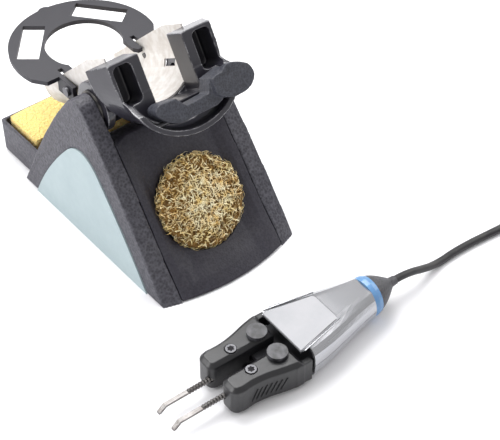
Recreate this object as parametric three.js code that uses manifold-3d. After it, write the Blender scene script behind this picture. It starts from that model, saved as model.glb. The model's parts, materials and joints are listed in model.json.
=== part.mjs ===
// Soldering station rest with a hot-tweezer handpiece, its cord and its plug.
// Millimetres, +Z up. The origin is the middle of the stand's underside, +X to the right seen from
// the front and +Y to the back.
import * as THREE from 'three';
import { mergeVertices } from 'three/addons/utils/BufferGeometryUtils.js';
import Module from 'manifold-3d';

const wasm = await Module();
wasm.setup();

// Clearances
const GAP = 0.3;                // between faces that meet
const RUN = 0.4;                // between faces that slide or turn on each other
const FUSE = 0.5;               // overlap of shapes that are joined into one piece

// Stand
const STAND_WIDTH = 102;
const STAND_DEPTH = 152;
const SIDE_LEAN = 0.035;        // each side face leans in by this much per unit of height
const WALL_THICKNESS = 12;      // side walls at the crown
const SKIN = 3;                 // moulded skin
const PIVOT_Y = 8;
const PIVOT_HEIGHT = 93.5;
const CROWN_RADIUS = 10;
const FRONT_NORMAL_DEG = 139;   // direction of the front slope's outward normal at the crown
const REAR_NORMAL_DEG = 40;
const FRONT_KNEE = 26.7;        // how far behind the front edge the front slope's knee lies
const FRONT_KNEE_HEIGHT = 42.7;
const REAR_KNEE = 34.9;         // how far ahead of the rear edge the rear curve's knee lies
const REAR_KNEE_HEIGHT = 69.7;
const FOOT_LIP = 5;
const FOOT_LIP_HEIGHT = 9;
const FRONT_BOW = 10;           // how far the middle of the front edge stands ahead of the corners
const BOW_HEIGHT = 30;          // height at which the bow has faded out
const BRIDGE_RADIUS = 6;
const BRIDGE_FROM_PIVOT = 11;   // the cross tube's place, ahead of and below the pivot
const BRIDGE_DROP = 22;
const REAR_PANEL_HEIGHT = 38;

// Side panels
const PANEL_THICKNESS = 1.3;
const PANEL_RECESS = 1;
const PANEL_FRONT = 16;         // strip of shell left in front of the panel
const PANEL_REAR = 15;
const PANEL_HEIGHT = 68.5;

// Front cover and wool cup
const COVER_THICKNESS = 3;
const COVER_HEIGHT = 80;
const COVER_FOOT = 0.8;         // clear of the bench
const VALLEY_DEPTH = 5;
const CUP_RADIUS = 29;
const CUP_HEIGHT = 36.5;          // height of the cup mouth's middle
const CUP_DEPTH = 16;
const CUP_WALL = 1.6;
const CUP_FLANGE = 0.3;
const FACE_SLOPE_DEG = 57;
const WOOL_BULGE = 9;
const WOOL_OVER_RIM = 4.2;       // height at which it swells over
const WOOL_INSET = 0.4;         // the swelling wool's radius is this much less than the cup's

// Base plate, feet and screws
const PLATE_THICKNESS = 2.8;
const FOOT_RADIUS = 6;
const FOOT_HEIGHT = 1.4;
const SCREW_RADIUS = 1.5;
const SCREW_HEAD_RADIUS = 2.9;
const SCREW_HEAD_HEIGHT = 1.3;
const SCREW_LENGTH = 9;
const BOSS_RADIUS = 3.4;
const BOSS_HEIGHT = 14;

// Sponge tray
const TRAY_WIDTH = 91;
const TRAY_HEIGHT = 26;
const TRAY_PROUD = 34;          // how far the tray stands out behind the stand
const TRAY_LENGTH = 66;
const TRAY_WALL = 2.2;
const TRAY_FLOOR = 2;
const SPONGE_HEIGHT = 23.5;
const SPONGE_LENGTH = 33;
const SPONGE_SIDE_GAP = 2.2;

// Tilting cradle: its own frame has x across, v up and back, u up and forward along the funnel
const CRADLE_TILT_DEG = 31.5;
const CRADLE_LIP_U = 56;
const CRADLE_REAR_U = -8;
const BLOCK_FRONT_U = 40.5;
const BLOCK_REAR_U = 23;
const BLOCK_HALF_WIDTH = 42;
const BLOCK_FRONT_HALF_WIDTH = 36;
const BLOCK_TOP_V = 25;
const CHANNEL_HALF_WIDTH = 15.3;
const LIP_HALF_WIDTH = 38.5;
const LIP_BOTTOM_V = -29;
const HULL_REAR_BOTTOM_V = -22;
const HULL_WALL = 3.4;
const POCKET_INNER = 21.6;
const POCKET_OUTER = 34;
const POCKET_BOTTOM_V = -1;
const POCKET_TOP_V = 22.6;
const POCKET_FLOOR = 2;
const POCKET_CORNER = 3.4;
const COLLAR_WALL = 3.2;        // of the half ring that holds the guard's upper end
const CHEEK_RADIUS = 16;
const CHEEK_THICKNESS = 5.2;
const PIVOT_PIN_RADIUS = 3.2;
const PIN_INNER_END = 1;        // the pins end this far inside the cheeks' inner faces
const WASHER_RADIUS = 11;

// Guard and tip magazine
const GUARD_RADIUS = 28;
const GUARD_SHEET = 1.1;
const GUARD_AXIS_V = 17;
const GUARD_LENGTH = 104;
const GUARD_EDGE_V = 27;
const GUARD_EDGE_FALL = 0.21;   // the top edge's fall per unit of length behind the pivot
const GUARD_CORNER_DROP = 12;   // cut off the top corner at the lower end
const GUARD_CORNER_RUN = 6;
const SLOT_U = -7.6;            // a slot in the right side
const SLOT_V = 2.2;
const SLOT_LENGTH = 13.6;
const SLOT_WIDTH = 4.4;
const MAGAZINE_OUTER = 47.5;
const MAGAZINE_OVERHANG = 3.3;   // the ring's bore is this much inside the guard's outer radius
const MAGAZINE_THICKNESS = 3;
const GRIP_RADIUS = 5;          // of the round finger grip at the rear of the rim
const MAGAZINE_Y = 70;
const MAGAZINE_HEIGHT = 88;
const WINDOW_LENGTH = 35;
const WINDOW_WIDTH = 14.2;
const WINDOW_RADIUS = 33.4;
const WINDOW_ANGLE_DEG = 50.8;
const LUG_THICKNESS = 3;
const LUG_Y = 41;
const LUG_HEIGHT = 84;
const LUG_MARGIN = 6;           // material around the screw
const HOOK_INSET = 2.4;         // tongues reach down inside the guard's edges
const HOOK_WIDTH = 5.1;
const HOOK_LENGTH = 14;
const HOOK_START = 13.5;        // ahead of the magazine's centre, where the plate parts round the guard
const LUG_SCREW_RADIUS = 1.6;
const LUG_SCREW_HEAD = 3.1;

// Rest lever
const LEVER_PIN_U = 50.5;
const LEVER_PIN_V = -16.2;
const LEVER_PIN_RADIUS = 1.5;
const LEVER_REAR_U = 46;
const PADDLE_THICKNESS = 5;

// Handpiece: its own frame has x from the pivots to the cord, y to the left, z up
const HAND_X = -32.9;
const HAND_Y = -151;
const HAND_TURN_DEG = -2;
const BODY_FRONT = 10;
const BODY_REAR = 71;
const BODY_FRONT_HALF_WIDTH = 24;
const BODY_REAR_RADIUS = 13;
const BODY_AXIS_HEIGHT = 13.1;
const BODY_WALL = 1.8;
const FACET_HEIGHT = 25.2;      // the flat on top of the body
const FACET_REAR_HEIGHT = 24;
const LABEL_FRONT = 10.3;
const LABEL_LENGTH = 32;
const LABEL_FRONT_WIDTH = 35;
const LABEL_REAR_WIDTH = 22.8;
const LABEL_THICKNESS = 0.8;
const COLLAR_LENGTH = 5.6;
const CAP_LENGTH = 14;
const CAP_NOSE_RADIUS = 4;
const RELIEF_LENGTH = 5;
const RELIEF_RADIUS = 3.3;
const ARM_FRONT = -36;
const ARM_REAR = 8.5;
const ARM_GAP = 4.2;            // half the gap between the arms
const ARM_BOTTOM = 0.6;
const ARM_TOP = 21.6;
const ARM_BEVEL = 2.4;
const ARM_CORNER = 4.6;
const ARM_TAIL_REAR = 14.5;     // the tails lap over the body's sides
const ARM_TAIL_INNER = 19.2;
const ARM_TAIL_OUTER = 23.2;
const TAIL_ROOM = 1.6;
const NOTCH_DEPTH = 12;
const ARM_PIVOT_Y = 9.5;
const ARM_PIN_RADIUS = 2.4;
const ARM_CAP_RADIUS = 6;
const ARM_CAP_HEIGHT = 2.6;
const ARM_SCREW_X = -18.3;
const ARM_SCREW_Y = 9.4;
const ARM_SCREW_HEAD = 3.2;
const FRAME_THICKNESS = 3;
const FRAME_BOTTOM = 10;
const FRAME_HALF_WIDTH = 17;
const TIP_Y = 7;
const TIP_HEIGHT = 9.5;
const SLEEVE_RADIUS = 1.8;
const SLEEVE_FRONT = -50;
const SLEEVE_REAR = -27;
const SLEEVE_RINGS = 12;
const BLADE_FRONT = -70;
const BLADE_WIDTH = 2.6;
const BLADE_THICKNESS = 1.6;
const SPRING_X = -11.5;
const SPRING_HEIGHT = 6.2;
const SPRING_RADIUS = 1.6;
const SPRING_WIRE = 0.36;
const SPRING_LENGTH = 14;
const SPRING_TURNS = 6;

// Cord, coil and plug
const CORD_DIAMETER = 4.8;
const COIL_X = 184;
const COIL_Y = -191;
const COIL_MEAN_RADIUS = 26.4;
const COIL_LAYERS = 2;
const COIL_ROWS = 4;
const BENCH_GAP = 0.1;          // under what lies on the bench
const TIE_THICKNESS = 0.9;
const TIE_WIDTH = 6;
const TIE_TURN_DEG = -40;
const PLUG_RADIUS = 7.5;
const PLUG_SHELL_LENGTH = 18;
const PLUG_NECK = 6;
const PLUG_RING_LENGTH = 10;
const PLUG_RING_WALL = 2.4;
const PLUG_INSERT_LENGTH = 11.5;

const rad = THREE.MathUtils.degToRad;
const V2 = (x, y) => new THREE.Vector2(x, y);
const V3 = (x, y, z) => new THREE.Vector3(x, y, z);
const smooth = (low, high, value) => THREE.MathUtils.smoothstep(value, low, high);
const sides = [{ name: 'left', sign: -1 }, { name: 'right', sign: 1 }];

// ---------- solids and booleans ----------

function dropFlatTriangles(index) {
  const kept = [];
  for (let i = 0; i < index.length; i += 3) {
    const [a, b, c] = [index[i], index[i + 1], index[i + 2]];
    if (a !== b && b !== c && c !== a) kept.push(a, b, c);
  }
  return kept;
}

function welded(geometry) {
  const bare = geometry.clone();
  if (geometry.userData.closed) return bare;
  bare.deleteAttribute('normal');
  bare.deleteAttribute('uv');
  const merged = mergeVertices(bare, 1e-3);
  merged.setIndex(dropFlatTriangles(merged.index.array));
  merged.userData.closed = true;
  return merged;
}

function toSolid(geometry) {
  const merged = welded(geometry);
  return new wasm.Manifold(new wasm.Mesh({
    numProp: 3,
    vertProperties: new Float32Array(merged.attributes.position.array),
    triVerts: new Uint32Array(merged.index.array),
  }));
}

function toGeometry(solid) {
  const mesh = solid.getMesh();
  const geometry = new THREE.BufferGeometry();
  geometry.setAttribute('position', new THREE.BufferAttribute(new Float32Array(mesh.vertProperties), 3));
  geometry.setIndex(new THREE.BufferAttribute(new Uint32Array(mesh.triVerts), 1));
  geometry.userData.closed = true;
  return geometry;
}

function join(...geometries) {
  return toGeometry(geometries.map(toSolid).reduce((a, b) => a.add(b)));
}

function cut(geometry, ...tools) {
  return toGeometry(tools.map(toSolid).reduce((body, tool) => body.subtract(tool), toSolid(geometry)));
}

function common(geometry, other) {
  return toGeometry(toSolid(geometry).intersect(toSolid(other)));
}

// ---------- shapes ----------

// Extrudes a shape drawn in (y, z) along X, centred on x.
function alongX(shape, width, x = 0, steps = 1) {
  const geometry = new THREE.ExtrudeGeometry(shape, {
    depth: width, steps, bevelEnabled: false, curveSegments: 12,
  });
  geometry.applyMatrix4(new THREE.Matrix4().makeBasis(V3(0, 1, 0), V3(0, 0, 1), V3(1, 0, 0)));
  return geometry.translate(x - width / 2, 0, 0);
}

function alongZ(shape, height, bottom, curveSegments = 8) {
  return new THREE.ExtrudeGeometry(shape, { depth: height, bevelEnabled: false, curveSegments })
    .translate(0, 0, bottom);
}

function box(x0, x1, y0, y1, z0, z1) {
  return new THREE.BoxGeometry(x1 - x0, y1 - y0, z1 - z0)
    .translate((x0 + x1) / 2, (y0 + y1) / 2, (z0 + z1) / 2);
}

// A cylinder along X, Y or Z from a start point.
function rod(axis, radius, length, x, y, z, segments = 20) {
  const geometry = new THREE.CylinderGeometry(radius, radius, length, segments).translate(0, length / 2, 0);
  if (axis === 'x') geometry.rotateZ(-Math.PI / 2);
  if (axis === 'z') geometry.rotateX(Math.PI / 2);
  return geometry.translate(x, y, z);
}

// A turned piece whose axis lies along +X; the profile holds (radius, x) points.
function turned(profile, segments = 24) {
  return new THREE.LatheGeometry(profile, segments).rotateZ(-Math.PI / 2);
}

// A screw along +Z whose head's underside is at z = 0 and whose shank goes up.
function screwUp(headRadius, headHeight, shankRadius, length) {
  const profile = [V2(0, -headHeight), V2(headRadius, -headHeight), V2(headRadius, 0),
    V2(shankRadius, 0), V2(shankRadius, length), V2(0, length)];
  return new THREE.LatheGeometry(profile, 16).rotateX(Math.PI / 2);
}

function roundedRect(x0, x1, y0, y1, radius) {
  const shape = new THREE.Shape();
  shape.moveTo(x0 + radius, y0);
  shape.lineTo(x1 - radius, y0);
  shape.absarc(x1 - radius, y0 + radius, radius, -Math.PI / 2, 0);
  shape.lineTo(x1, y1 - radius);
  shape.absarc(x1 - radius, y1 - radius, radius, 0, Math.PI / 2);
  shape.lineTo(x0 + radius, y1);
  shape.absarc(x0 + radius, y1 - radius, radius, Math.PI / 2, Math.PI);
  shape.lineTo(x0, y0 + radius);
  shape.absarc(x0 + radius, y0 + radius, radius, Math.PI, 1.5 * Math.PI);
  return shape;
}

// Moves every vertex by a function of its place.
function moved(geometry, place) {
  const result = welded(geometry);
  const position = result.attributes.position;
  const point = new THREE.Vector3();
  for (let i = 0; i < position.count; i += 1) {
    point.fromBufferAttribute(position, i);
    place(point);
    position.setXYZ(i, point.x, point.y, point.z);
  }
  return result;
}

// ---------- materials and nodes ----------

function finish(color, roughness, metalness = 0) {
  return () => new THREE.MeshStandardMaterial({ color, roughness, metalness });
}

const textured = finish(0x3c3a42, 0.75);
const gloss = finish(0x55555c, 0.3);
const mint = finish(0xc5dde2, 0.5);
const steel = finish(0xcfcfd0, 0.3, 0.9);
const rubber = finish(0x2e3036, 0.85);

const station = new THREE.Group();
const cradle = new THREE.Group();
const hand = new THREE.Group();
station.add(cradle, hand);

function add(group, name, geometry, material) {
  const mesh = new THREE.Mesh(geometry, material());
  mesh.name = name;
  group.add(mesh);
  return mesh;
}

// ---------- stand ----------

const halfWidth = STAND_WIDTH / 2;
const frontEdge = -STAND_DEPTH / 2;
const rearEdge = STAND_DEPTH / 2;
const innerFace = halfWidth - WALL_THICKNESS;

const lean = (geometry) => moved(geometry, (p) => {
  p.x *= 1 - (SIDE_LEAN * p.z) / halfWidth;
});

// How far the front stands ahead of the corners at a place across and up.
const bow = (x, z) => FRONT_BOW * (1 - (x / halfWidth) ** 2) * (1 - smooth(0, BOW_HEIGHT, z));

const crownPoint = (degrees, inset) => V2(
  PIVOT_Y + (CROWN_RADIUS - inset) * Math.cos(rad(degrees)),
  PIVOT_HEIGHT + (CROWN_RADIUS - inset) * Math.sin(rad(degrees)),
);
const frontCurve = new THREE.QuadraticBezierCurve(
  V2(frontEdge, 0),
  V2(frontEdge + FRONT_KNEE, FRONT_KNEE_HEIGHT),
  crownPoint(FRONT_NORMAL_DEG, 0),
);
const rearCurve = new THREE.QuadraticBezierCurve(
  crownPoint(REAR_NORMAL_DEG, 0),
  V2(rearEdge - REAR_KNEE, REAR_KNEE_HEIGHT),
  V2(rearEdge - FOOT_LIP, FOOT_LIP_HEIGHT),
);

function curveInset(curve, t, inset) {
  const point = curve.getPoint(t);
  const tangent = curve.getTangent(t);
  return V2(point.x + tangent.y * inset, point.y - tangent.x * inset);
}

// The side outline in (y, z), moved in by an inset, from the floor in front over the crown to the rear.
function sideOutline(inset) {
  const steps = 12;
  const points = [];
  const drop = -inset;
  for (let i = 0; i <= steps; i += 1) points.push(curveInset(frontCurve, i / steps, inset));
  const crownSteps = 8;
  for (let i = 1; i < crownSteps; i += 1) {
    const turn = THREE.MathUtils.lerp(FRONT_NORMAL_DEG, REAR_NORMAL_DEG, i / crownSteps);
    points.push(crownPoint(turn, inset));
  }
  for (let i = 0; i <= steps; i += 1) points.push(curveInset(rearCurve, i / steps, inset));
  points.push(V2(rearEdge - inset, drop));
  points.push(V2(points[0].x, drop));
  return new THREE.Shape(inset > 0 ? points : points.slice(0, -1));
}

// The y of the front slope at a height.
function frontAt(z) {
  let low = 0;
  let high = 1;
  for (let i = 0; i < 24; i += 1) {
    const middle = (low + high) / 2;
    if (frontCurve.getPoint(middle).y < z) low = middle;
    else high = middle;
  }
  return frontCurve.getPoint((low + high) / 2).x;
}

function bowed(geometry) {
  return moved(geometry, (p) => {
    const near = 1 - smooth(0, 30, p.y - frontEdge - p.z * 0.6);
    p.y -= bow(p.x, p.z) * near;
  });
}

function panelOutline(grow) {
  const shape = new THREE.Shape();
  const front = frontEdge + PANEL_FRONT - grow;
  const rear = rearEdge - PANEL_REAR + grow;
  const top = PANEL_HEIGHT + grow;
  const across = (share) => THREE.MathUtils.lerp(front, rear, share);
  shape.moveTo(front, -grow);
  shape.quadraticCurveTo(across(0.18), top * 0.47, across(0.41), top * 0.905);
  shape.quadraticCurveTo(across(0.535), top * 1.09, across(0.65), top * 0.9);
  shape.quadraticCurveTo(across(0.86), top * 0.5, rear, -grow);
  return shape;
}

const plateTop = PLATE_THICKNESS;
const bossPlaces = [];
for (const side of sides) {
  for (const y of [frontEdge + 24, rearEdge - 34]) {
    bossPlaces.push({ x: side.sign * (halfWidth - 7.4), y });
  }
}

const trayBottom = plateTop + RUN;
const trayHalf = TRAY_WIDTH / 2;
const trayRear = rearEdge + TRAY_PROUD;
const trayFront = trayRear - TRAY_LENGTH;

// The base plate's slab, grown on its edges and top
const plateSlab = (grow) => box(
  -halfWidth + SKIN + 2 * GAP - grow, halfWidth - SKIN - 2 * GAP + grow,
  frontEdge + 2 * SKIN - grow, rearEdge - SKIN - 1 + grow, grow > 0 ? -1 : 0, plateTop + grow,
);

function makeShell() {
  const walls = sides.map(({ sign }) => {
    const middle = sign * (halfWidth - WALL_THICKNESS / 2);
    const outer = bowed(alongX(sideOutline(0), WALL_THICKNESS, middle, 3));
    const inner = bowed(alongX(sideOutline(SKIN), WALL_THICKNESS - 2 * SKIN, middle, 2));
    return cut(outer, inner);
  });
  const rearBand = cut(
    alongX(sideOutline(0), 2 * (innerFace + FUSE)),
    alongX(sideOutline(SKIN), 2 * (innerFace + 2 * FUSE)),
    box(-halfWidth, halfWidth, frontEdge - 1, PIVOT_Y + 12, -1, PIVOT_HEIGHT * 2),
    box(-halfWidth, halfWidth, frontEdge - 1, rearEdge + 1, REAR_PANEL_HEIGHT, PIVOT_HEIGHT * 2),
  );
  const bridge = rod('x', BRIDGE_RADIUS, 2 * (innerFace + FUSE), -innerFace - FUSE,
    PIVOT_Y - BRIDGE_FROM_PIVOT, PIVOT_HEIGHT - BRIDGE_DROP);
  const bosses = bossPlaces.map((b) => rod('z', BOSS_RADIUS, BOSS_HEIGHT, b.x, b.y, plateTop + GAP));
  const whole = lean(join(...walls, rearBand, bridge, ...bosses));
  const boreDepth = SCREW_HEAD_HEIGHT + SCREW_LENGTH + 3 * GAP;
  const bossBores = bossPlaces.map((b) => rod('z', SCREW_RADIUS + GAP, boreDepth + 1, b.x, b.y, -1, 12));
  const traySlot = box(-trayHalf - RUN, trayHalf + RUN, trayFront - 2, rearEdge + 9, -1, TRAY_HEIGHT + RUN);
  const recesses = sides.map(({ sign }) => lean(alongX(
    panelOutline(1.5 * GAP), 2 * PANEL_RECESS, sign * halfWidth,
  )));
  const pinReach = halfWidth - WALL_THICKNESS / 2;
  const pinBore = rod('x', PIVOT_PIN_RADIUS + RUN, 2 * pinReach, -pinReach, PIVOT_Y, PIVOT_HEIGHT);
  return cut(whole, plateSlab(GAP), traySlot, pinBore, ...bossBores, ...recesses);
}
add(station, 'stand_shell', makeShell(), textured);

for (const { name, sign } of sides) {
  const middle = sign * (halfWidth - PANEL_RECESS + GAP + PANEL_THICKNESS / 2);
  add(station, `${name}_side_panel`, lean(alongX(panelOutline(0), PANEL_THICKNESS, middle)), mint);
}

// The front cover follows the slope, bows out at its foot and has a shallow valley above it.
const coverHalf = innerFace - GAP;
function coverFace(x, z) {
  const crease = THREE.MathUtils.lerp(30, coverHalf, z / COVER_HEIGHT);
  const valley = VALLEY_DEPTH * (1 - smooth(crease - 9, crease, Math.abs(x))) * smooth(3, 14, z);
  return frontAt(z) - bow(x, z) + valley;
}

const faceSlope = rad(FACE_SLOPE_DEG);
const cupMouth = V3(0, coverFace(0, CUP_HEIGHT), CUP_HEIGHT);
// Turns a piece made along +Z so that it points out of the front slope, with its z = 0 at the cup mouth.
const toFace = (geometry, out = 0) => geometry.rotateX(faceSlope).translate(
  0,
  cupMouth.y - out * Math.sin(faceSlope),
  cupMouth.z + out * Math.cos(faceSlope),
);

function makeCover() {
  const tall = COVER_HEIGHT - COVER_FOOT;
  const slab = new THREE.BoxGeometry(2 * coverHalf, COVER_THICKNESS, tall, 14, 1, 12)
    .translate(0, COVER_THICKNESS / 2, tall / 2 + COVER_FOOT);
  const face = moved(slab, (p) => {
    p.y = coverFace(p.x, p.z) + p.y * 1.2;
  });
  const opening = toFace(rod('z', CUP_RADIUS + RUN, 60, 0, 0, -30, 32));
  return cut(lean(face), opening);
}
add(station, 'front_cover', makeCover(), textured);

// ---------- wool cup and wool ----------

function makeCup() {
  const r = CUP_RADIUS;
  const profile = [V2(0, -CUP_DEPTH), V2(r - 2, -CUP_DEPTH), V2(r, -CUP_DEPTH + 2), V2(r, 0),
    V2(r, CUP_FLANGE), V2(r - CUP_WALL, CUP_FLANGE), V2(r - CUP_WALL, -CUP_DEPTH + CUP_WALL + 1),
    V2(r - CUP_WALL - 1, -CUP_DEPTH + CUP_WALL), V2(0, -CUP_DEPTH + CUP_WALL)];
  return toFace(new THREE.LatheGeometry(profile, 32).rotateX(Math.PI / 2));
}
add(station, 'wool_cup', makeCup(), rubber);

function makeWool() {
  const radius = CUP_RADIUS - CUP_WALL - GAP;
  const low = -CUP_DEPTH + CUP_WALL + GAP;
  const swell = CUP_FLANGE + WOOL_OVER_RIM;
  const profile = [V2(0, low), V2(radius - 4, low), V2(radius, low + 4), V2(radius, CUP_FLANGE + 1)];
  const arcs = 8;
  for (let i = 0; i <= arcs; i += 1) {
    const turn = (i / arcs) * (Math.PI / 2);
    const out = i === arcs ? 0 : (CUP_RADIUS - WOOL_INSET) * Math.cos(turn) ** 0.8;
    profile.push(V2(out, swell + (WOOL_BULGE - swell) * Math.sin(turn)));
  }
  return toFace(new THREE.LatheGeometry(profile, 24).rotateX(Math.PI / 2));
}
add(station, 'brass_wool', makeWool(), finish(0xc9a24b, 0.4, 0.8));

// ---------- base plate, feet and screws ----------

const footPlaces = [];
for (const { name, sign } of sides) {
  footPlaces.push({ name: `front_${name}_foot`, x: sign * (halfWidth - 15), y: frontEdge + 15 });
  footPlaces.push({ name: `rear_${name}_foot`, x: sign * (halfWidth - 15), y: rearEdge - 14 });
}

function makePlate() {
  const plate = plateSlab(0);
  const pockets = footPlaces.map((f) => rod('z', FOOT_RADIUS + GAP, FOOT_HEIGHT + GAP + 1, f.x, f.y, -1));
  const bores = bossPlaces.flatMap((b) => [
    rod('z', SCREW_RADIUS + GAP, 10, b.x, b.y, -5, 12),
    rod('z', SCREW_HEAD_RADIUS + GAP, SCREW_HEAD_HEIGHT + GAP * 2 + 1, b.x, b.y, -1, 16),
  ]);
  return cut(plate, ...pockets, ...bores);
}
add(station, 'base_plate', makePlate(), finish(0x8d8f92, 0.45, 0.8));
for (const f of footPlaces) {
  add(station, f.name, rod('z', FOOT_RADIUS, FOOT_HEIGHT, f.x, f.y, 0), rubber);
}
bossPlaces.forEach((b, i) => {
  const screw = screwUp(SCREW_HEAD_RADIUS, SCREW_HEAD_HEIGHT, SCREW_RADIUS, SCREW_LENGTH);
  add(station, `base_screw_${i + 1}`, screw.translate(b.x, b.y, SCREW_HEAD_HEIGHT + GAP), steel);
});

// ---------- sponge tray ----------

const spongeFront = trayRear - TRAY_WALL - 1.2 - SPONGE_LENGTH;
function makeTray() {
  const outer = join(
    box(-trayHalf, trayHalf, trayFront, trayRear, trayBottom, TRAY_HEIGHT),
    box(-trayHalf, trayHalf, rearEdge + 1, trayRear, 0.6, TRAY_HEIGHT / 2),
  );
  const hollow = box(-trayHalf + TRAY_WALL, trayHalf - TRAY_WALL, trayFront + TRAY_WALL,
    trayRear - TRAY_WALL, trayBottom + TRAY_FLOOR, TRAY_HEIGHT + 1);
  return cut(outer, hollow);
}
add(station, 'sponge_tray', makeTray(), textured);
add(station, 'sponge', box(-trayHalf + TRAY_WALL + SPONGE_SIDE_GAP, trayHalf - TRAY_WALL - SPONGE_SIDE_GAP,
  spongeFront, spongeFront + SPONGE_LENGTH, trayBottom + TRAY_FLOOR + GAP,
  trayBottom + TRAY_FLOOR + GAP + SPONGE_HEIGHT), finish(0xf2dc7a, 0.95));

// ---------- tilting cradle ----------

// The cradle group's x is across, y is v and z is u, and its origin is on the pivot axis.
cradle.position.set(0, PIVOT_Y, PIVOT_HEIGHT);
cradle.rotation.x = Math.PI / 2 - rad(CRADLE_TILT_DEG);

const cheekInner = GUARD_RADIUS + 1.6;
const lipSide = (u) => smooth(BLOCK_REAR_U, CRADLE_LIP_U, u);
const blockHalf = (u) => THREE.MathUtils.mapLinear(
  Math.min(u, BLOCK_FRONT_U), BLOCK_REAR_U, BLOCK_FRONT_U, BLOCK_HALF_WIDTH, BLOCK_FRONT_HALF_WIDTH,
);
const hullHalf = (u) => THREE.MathUtils.lerp(
  blockHalf(u), LIP_HALF_WIDTH, smooth(BLOCK_FRONT_U, CRADLE_LIP_U, u),
);
const hullBottom = (u) => THREE.MathUtils.lerp(HULL_REAR_BOTTOM_V, LIP_BOTTOM_V, lipSide(u) ** 0.8);
const hullMiddle = (u) => THREE.MathUtils.lerp(19, 4, lipSide(u));

// The lever's pin ends inside the hull's wall on both sides.
const hullHalfAt = (u, v) => {
  const middle = hullMiddle(u);
  const drop = (middle - v) / (middle - hullBottom(u));
  return hullHalf(u) * Math.sqrt(1 - drop * drop);
};
const leverPinReach = hullHalfAt(LEVER_PIN_U, LEVER_PIN_V) - 1.6;

// A tub lofted along u: an upright-sided top over a half-ellipse, all moved in by an inset.
function tub(u0, u1, inset, top, steps) {
  const section = new THREE.Shape();
  section.moveTo(1, 0);
  section.lineTo(1, 1);
  section.lineTo(-1, 1);
  section.lineTo(-1, 0);
  section.absarc(0, 0, 1, Math.PI, 2 * Math.PI);
  const raw = new THREE.ExtrudeGeometry(section, {
    depth: 1, steps, bevelEnabled: false, curveSegments: 18,
  });
  return moved(raw, (p) => {
    const u = THREE.MathUtils.lerp(u0, u1, p.z);
    const middle = hullMiddle(u);
    p.x *= hullHalf(u) - inset;
    const depth = middle - hullBottom(u) - inset;
    p.y = p.y > 0 ? THREE.MathUtils.lerp(middle, top, p.y) : middle + p.y * depth;
    p.z = u;
  });
}

// Cuts right across the cradle's group: an outline in (u, v) extruded along x.
function acrossCradle(points) {
  const wide = 2 * halfWidth;
  return new THREE.ExtrudeGeometry(new THREE.Shape(points), { depth: wide, bevelEnabled: false })
    .applyMatrix4(new THREE.Matrix4().makeBasis(V3(0, 0, 1), V3(0, 1, 0), V3(-1, 0, 0)))
    .translate(wide / 2, 0, 0);
}

// Extrudes a shape drawn in (x, v) along u.
const alongU = (shape, u0, u1, curveSegments = 8) => alongZ(shape, u1 - u0, u0, curveSegments);

const outerGuard = GUARD_RADIUS + GAP;
function makeCradle() {
  const hull = tub(BLOCK_REAR_U, CRADLE_LIP_U, 0, BLOCK_TOP_V, 8);
  const basin = tub(BLOCK_FRONT_U + GAP, CRADLE_LIP_U + 4, HULL_WALL, BLOCK_TOP_V + 10, 6);
  const topCut = acrossCradle([V2(BLOCK_FRONT_U, 60), V2(BLOCK_FRONT_U, 3), V2(CRADLE_LIP_U + 1, -7),
    V2(CRADLE_LIP_U + 1, 60)]);
  const channel = box(-CHANNEL_HALF_WIDTH, CHANNEL_HALF_WIDTH, GUARD_AXIS_V - outerGuard + 1, 40, 0, 60);
  const pockets = sides.map(({ sign }) => {
    const low = Math.min(sign * POCKET_INNER, sign * POCKET_OUTER);
    const high = low + POCKET_OUTER - POCKET_INNER;
    const shape = roundedRect(low, high, POCKET_BOTTOM_V, POCKET_TOP_V, POCKET_CORNER);
    return alongU(shape, BLOCK_REAR_U + POCKET_FLOOR, BLOCK_FRONT_U + 5, 4);
  });
  const collarLength = BLOCK_REAR_U - CRADLE_REAR_U + FUSE;
  const collar = rod('z', outerGuard + COLLAR_WALL, collarLength, 0, GUARD_AXIS_V, CRADLE_REAR_U, 40);
  const collarTop = box(-60, 60, GUARD_AXIS_V - 2, 80, CRADLE_REAR_U - 1, BLOCK_REAR_U + 1);
  const collarRoom = rod('z', outerGuard, collarLength + 2, 0, GUARD_AXIS_V, CRADLE_REAR_U - 1, 40);
  const cheeks = sides.map(({ sign }) => rod('x', CHEEK_RADIUS, CHEEK_THICKNESS,
    sign > 0 ? cheekInner : -cheekInner - CHEEK_THICKNESS, 0, 0, 32));
  const pinBores = rod('x', PIVOT_PIN_RADIUS + RUN, 2 * halfWidth, -halfWidth, 0, 0, 20);
  const leverBore = rod('x', LEVER_PIN_RADIUS + GAP, 2 * leverPinReach, -leverPinReach,
    LEVER_PIN_V, LEVER_PIN_U, 12);
  const front = cut(hull, basin, topCut, channel, ...pockets, leverBore);
  const back = cut(join(cut(collar, collarTop), ...cheeks), collarRoom, pinBores);
  return join(front, back);
}

add(cradle, 'cradle_body', makeCradle(), gloss);

for (const { name, sign } of sides) {
  const wallOuter = (halfWidth - WALL_THICKNESS / 2) * (1 - (SIDE_LEAN * PIVOT_HEIGHT) / halfWidth);
  const wallInner = innerFace * (1 - (SIDE_LEAN * PIVOT_HEIGHT) / halfWidth);
  const washerStart = cheekInner + CHEEK_THICKNESS + GAP;
  const washerThickness = wallInner - washerStart - RUN;
  const washerBore = PIVOT_PIN_RADIUS + GAP;
  const washer = turned([V2(washerBore, 0), V2(WASHER_RADIUS, 0), V2(WASHER_RADIUS, washerThickness),
    V2(washerBore, washerThickness), V2(washerBore, 0)], 20).translate(washerStart, 0, 0);
  const pinStart = cheekInner - PIN_INNER_END;
  const pin = rod('x', PIVOT_PIN_RADIUS, wallOuter - pinStart, pinStart, 0, 0, 16);
  if (sign < 0) {
    washer.rotateZ(Math.PI);
    pin.rotateZ(Math.PI);
  }
  add(cradle, `${name}_friction_washer`, washer, finish(0xb08d57, 0.4, 0.8));
  add(cradle, `${name}_pivot_pin`, pin, steel);
}

// ---------- guard ----------

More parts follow.
